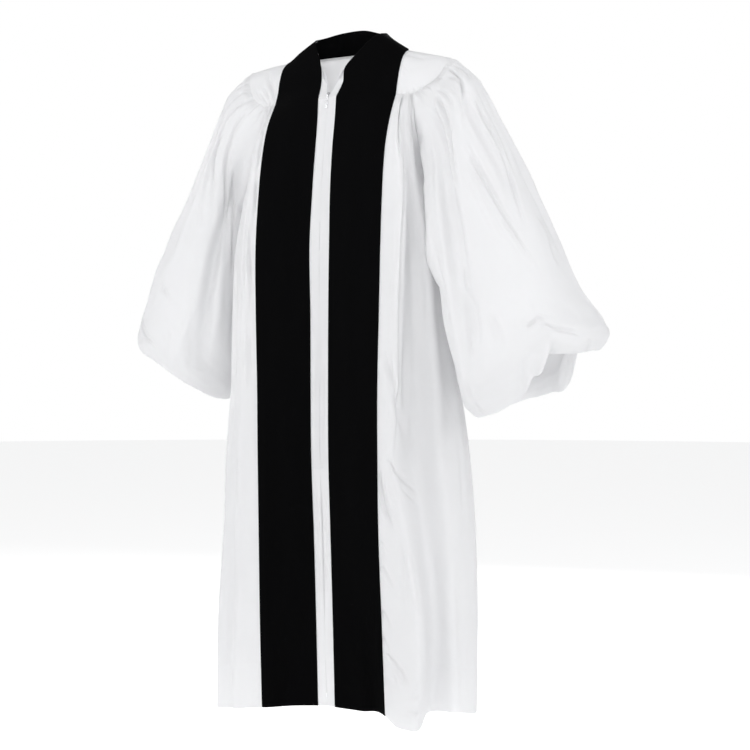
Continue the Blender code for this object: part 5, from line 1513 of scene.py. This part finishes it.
shape = bmesh.new()
plate(shape, rounded_outline(0.0040, -0.0035, 0.0045, 0.0013, taper=0.0010), 0.00070, 0.00170)
plate(shape, rounded_outline(0.0036, -0.0035, 0.0045, 0.0012, taper=0.0008), -0.00490, -0.00390)
plate(shape, rounded_outline(0.0009, 0.0024, 0.0042, 0.0004, count=3), -0.00400, 0.00080)
for low, high in ((0.00150, 0.00245), (-0.00245, -0.00150)):
    ear = [(PIN_UP - 0.0015, 0.00150), (PIN_UP + 0.0022, 0.00150), (PIN_UP + 0.0018, PIN_OUT + 0.0004), (PIN_UP + 0.0009, PIN_OUT + 0.00115), (PIN_UP, PIN_OUT + 0.00135), (PIN_UP - 0.0009, PIN_OUT + 0.00105), (PIN_UP - 0.0014, PIN_OUT + 0.0004)]
    near = [shape.verts.new((high, y, z)) for y, z in ear]
    away = [shape.verts.new((low, y, z)) for y, z in ear]
    shape.faces.new(near)
    shape.faces.new(away[::-1])
    for k in range(len(ear)):
        m = (k + 1) % len(ear)
        shape.faces.new((near[m], near[k], away[k], away[m]))
bar(shape, 0.00058, -0.00200, 0.00200, (PIN_UP, PIN_OUT))
finish_metal("zip_slider_body", shape, 0.00012, slider_frame, "robe", "zip_slider")

pin = slider_frame @ Vector((0, PIN_UP, PIN_OUT))
lean = max(math.atan2((pin.y - front(1, 0.0, YOKE_Z - d).y) + 0.0010, pin.z - YOKE_Z + d) for d in [0.002 * k for k in range(13)])
shape = bmesh.new()
# an eye round the pin
inner, outer, half, sides = 0.00095, 0.0016, 0.00118, 24
rings = []
for radius in (inner, outer):
    for x in (-half, half):
        rings.append([shape.verts.new((x, radius * math.cos(2 * math.pi * k / sides), radius * math.sin(2 * math.pi * k / sides))) for k in range(sides)])
for k in range(sides):
    m = (k + 1) % sides
    shape.faces.new((rings[0][k], rings[0][m], rings[1][m], rings[1][k]))
    shape.faces.new((rings[2][k], rings[3][k], rings[3][m], rings[2][m]))
    shape.faces.new((rings[0][k], rings[2][k], rings[2][m], rings[0][m]))
    shape.faces.new((rings[1][k], rings[1][m], rings[3][m], rings[3][k]))
# the tab below it in the pull's own directions: x across, z down the tab
made = plate(shape, rounded_outline(0.00105, -0.0060, -0.00130, 0.0002, count=2), -0.00045, 0.00045)
outline = rounded_outline(PULL_WIDTH / 2, -PULL_LENGTH, -0.0050, 0.0014, count=6, taper=-0.0)
hole = rounded_outline(0.0011, -PULL_LENGTH + 0.0032, -0.0078, 0.0010, count=6)
made += plate(shape, outline, -0.00045, 0.00045, hole)
for v in made:
    v.co = Vector((v.co.x, -v.co.z, v.co.y))
pull_matrix = Matrix.Translation(pin) @ Matrix.Rotation(-lean, 4, "X")
finish_metal("zip_pull_tab", shape, 0.00010, pull_matrix, "zip_pull", "zip_pull")

# ---- stitches ----
def stitches(name, path, normal, length, gap, radius, body="robe"):
    """Short thread stitches along a path of points, lying on the cloth."""
    verts, faces = [], []
    for start, end, out in path:
        way = end - start
        total = way.length
        way.normalize()
        aside = way.cross(out).normalized()
        count = max(1, int(total / (length + gap)))
        for k in range(count):
            s0 = (length + gap) * k + gap / 2
            n = 5
            for j in range(n + 1):
                share = j / n
                rise = radius * (0.15 + 1.1 * math.sin(math.pi * share))
                centre = start + way * (s0 + length * share) + out * rise
                for q in range(6):
                    angle = 2 * math.pi * q / 6
                    verts.append(tuple(centre + (aside * math.cos(angle) + out * math.sin(angle)) * radius * (0.55 + 0.45 * math.sin(math.pi * share))))
            base = len(verts) - 6 * (n + 1)
            for j in range(n):
                for q in range(6):
                    p = (q + 1) % 6
                    faces.append((base + j * 6 + q, base + j * 6 + p, base + (j + 1) * 6 + p, base + (j + 1) * 6 + q))
            faces.append(tuple(base + q for q in range(5, -1, -1)))
            faces.append(tuple(base + n * 6 + q for q in range(6)))
    mesh = bpy.data.meshes.new(name)
    mesh.from_pydata(verts, [], faces)
    mesh.materials.append(thread)
    mesh.shade_smooth()
    thing = bpy.data.objects.new(name, mesh)
    bpy.context.scene.collection.objects.link(thing)
    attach(thing, body)
    return thing


# Two rows of stitching across the strip at the zip's end.
runs = []
for z in (ZIP_END_Z + 0.0012, ZIP_END_Z - 0.0014):
    steps = [front(-1, f, z) for f in (0.0185, 0.014, 0.009, 0.004, 0.0015)] + [front(1, f, z) for f in (0.0015, 0.004, 0.008)]
    for p, q in zip(steps, steps[1:]):
        runs.append((p, q, Vector((0, -1, 0))))
stitches("zip_end_stitches", runs, None, 0.0022, 0.0006, 0.00022)

# ---- stage: pale floor, soft light, white surroundings ----
floor_mesh = bpy.data.meshes.new("floor")
floor_shape = bmesh.new()
bmesh.ops.create_circle(floor_shape, cap_ends=True, radius=14.0, segments=96)
floor_shape.to_mesh(floor_mesh)
floor_shape.free()
floor = bpy.data.objects.new("floor", floor_mesh)
bpy.context.scene.collection.objects.link(floor)
floor.location = (0.0, 0.0, -1.50)
stage = Nodes("floor_pale")
patch = stage.noise(stage.add("ShaderNodeTexCoord").outputs["Object"], 3.0, 3.0)
stage.link(stage.ramp(patch, (0.93, 0.93, 0.93), (0.95, 0.95, 0.95)), stage.shader.inputs["Base Color"])
stage.set(Roughness=0.9, Emission_Color=(1, 1, 1, 1), Emission_Strength=0.50, Specular_IOR_Level=0.1)
floor_mesh.materials.append(stage.material)

world = bpy.data.worlds.new("surroundings")
bpy.context.scene.world = world
world.use_nodes = True
tree = world.node_tree
tree.nodes.clear()
output = tree.nodes.new("ShaderNodeOutputWorld")
mix = tree.nodes.new("ShaderNodeMixShader")
path = tree.nodes.new("ShaderNodeLightPath")
seen = tree.nodes.new("ShaderNodeBackground")
seen.inputs["Color"].default_value = (1.0, 1.0, 1.0, 1.0)
seen.inputs["Strength"].default_value = 1.0
lit = tree.nodes.new("ShaderNodeBackground")
lit.inputs["Color"].default_value = (0.99, 0.995, 1.0, 1.0)
# a little dimmer overhead than at the sides
way = tree.nodes.new("ShaderNodeTexCoord")
split = tree.nodes.new("ShaderNodeSeparateXYZ")
fade = tree.nodes.new("ShaderNodeMapRange")
fade.inputs["From Min"].default_value = 0.0
fade.inputs["From Max"].default_value = 1.0
fade.inputs["To Min"].default_value = 0.65
fade.inputs["To Max"].default_value = 0.33
tree.links.new(way.outputs["Generated"], split.inputs[0])
tree.links.new(split.outputs["Z"], fade.inputs["Value"])
tree.links.new(fade.outputs["Result"], lit.inputs["Strength"])
tree.links.new(path.outputs["Is Camera Ray"], mix.inputs[0])
tree.links.new(lit.outputs[0], mix.inputs[1])
tree.links.new(seen.outputs[0], mix.inputs[2])
tree.links.new(mix.outputs[0], output.inputs["Surface"])


def softbox(name, azimuth, elevation, distance, size, power, aim_z):
    """A large square lamp, placed round the robe as a camera would be."""
    az, el = math.radians(azimuth), math.radians(elevation)
    aim = Vector((0.0, 0.0, aim_z))
    place = aim + Vector((math.sin(az) * math.cos(el), -math.cos(az) * math.cos(el), math.sin(el))) * distance
    data = bpy.data.lights.new(name, "AREA")
    data.shape = "RECTANGLE"
    data.size, data.size_y = size
    data.energy = power
    lamp = bpy.data.objects.new(name, data)
    bpy.context.scene.collection.objects.link(lamp)
    lamp.location = place
    lamp.rotation_euler = (place - aim).to_track_quat("Z", "Y").to_euler()
    return lamp


softbox("key", 20, 20, 2.4, (1.0, 1.0), 26.0, -0.08)
softbox("side_left", 84, 20, 2.4, (1.1, 1.1), 20.0, -0.25)
softbox("side_right", -50, 18, 2.4, (1.1, 1.1), 21.0, -0.15)
softbox("rim", 190, 18, 2.8, (1.8, 1.8), 48.0, -0.1)

view_settings = bpy.context.scene.view_settings
view_settings.view_transform = "Standard"
view_settings.look = "None"
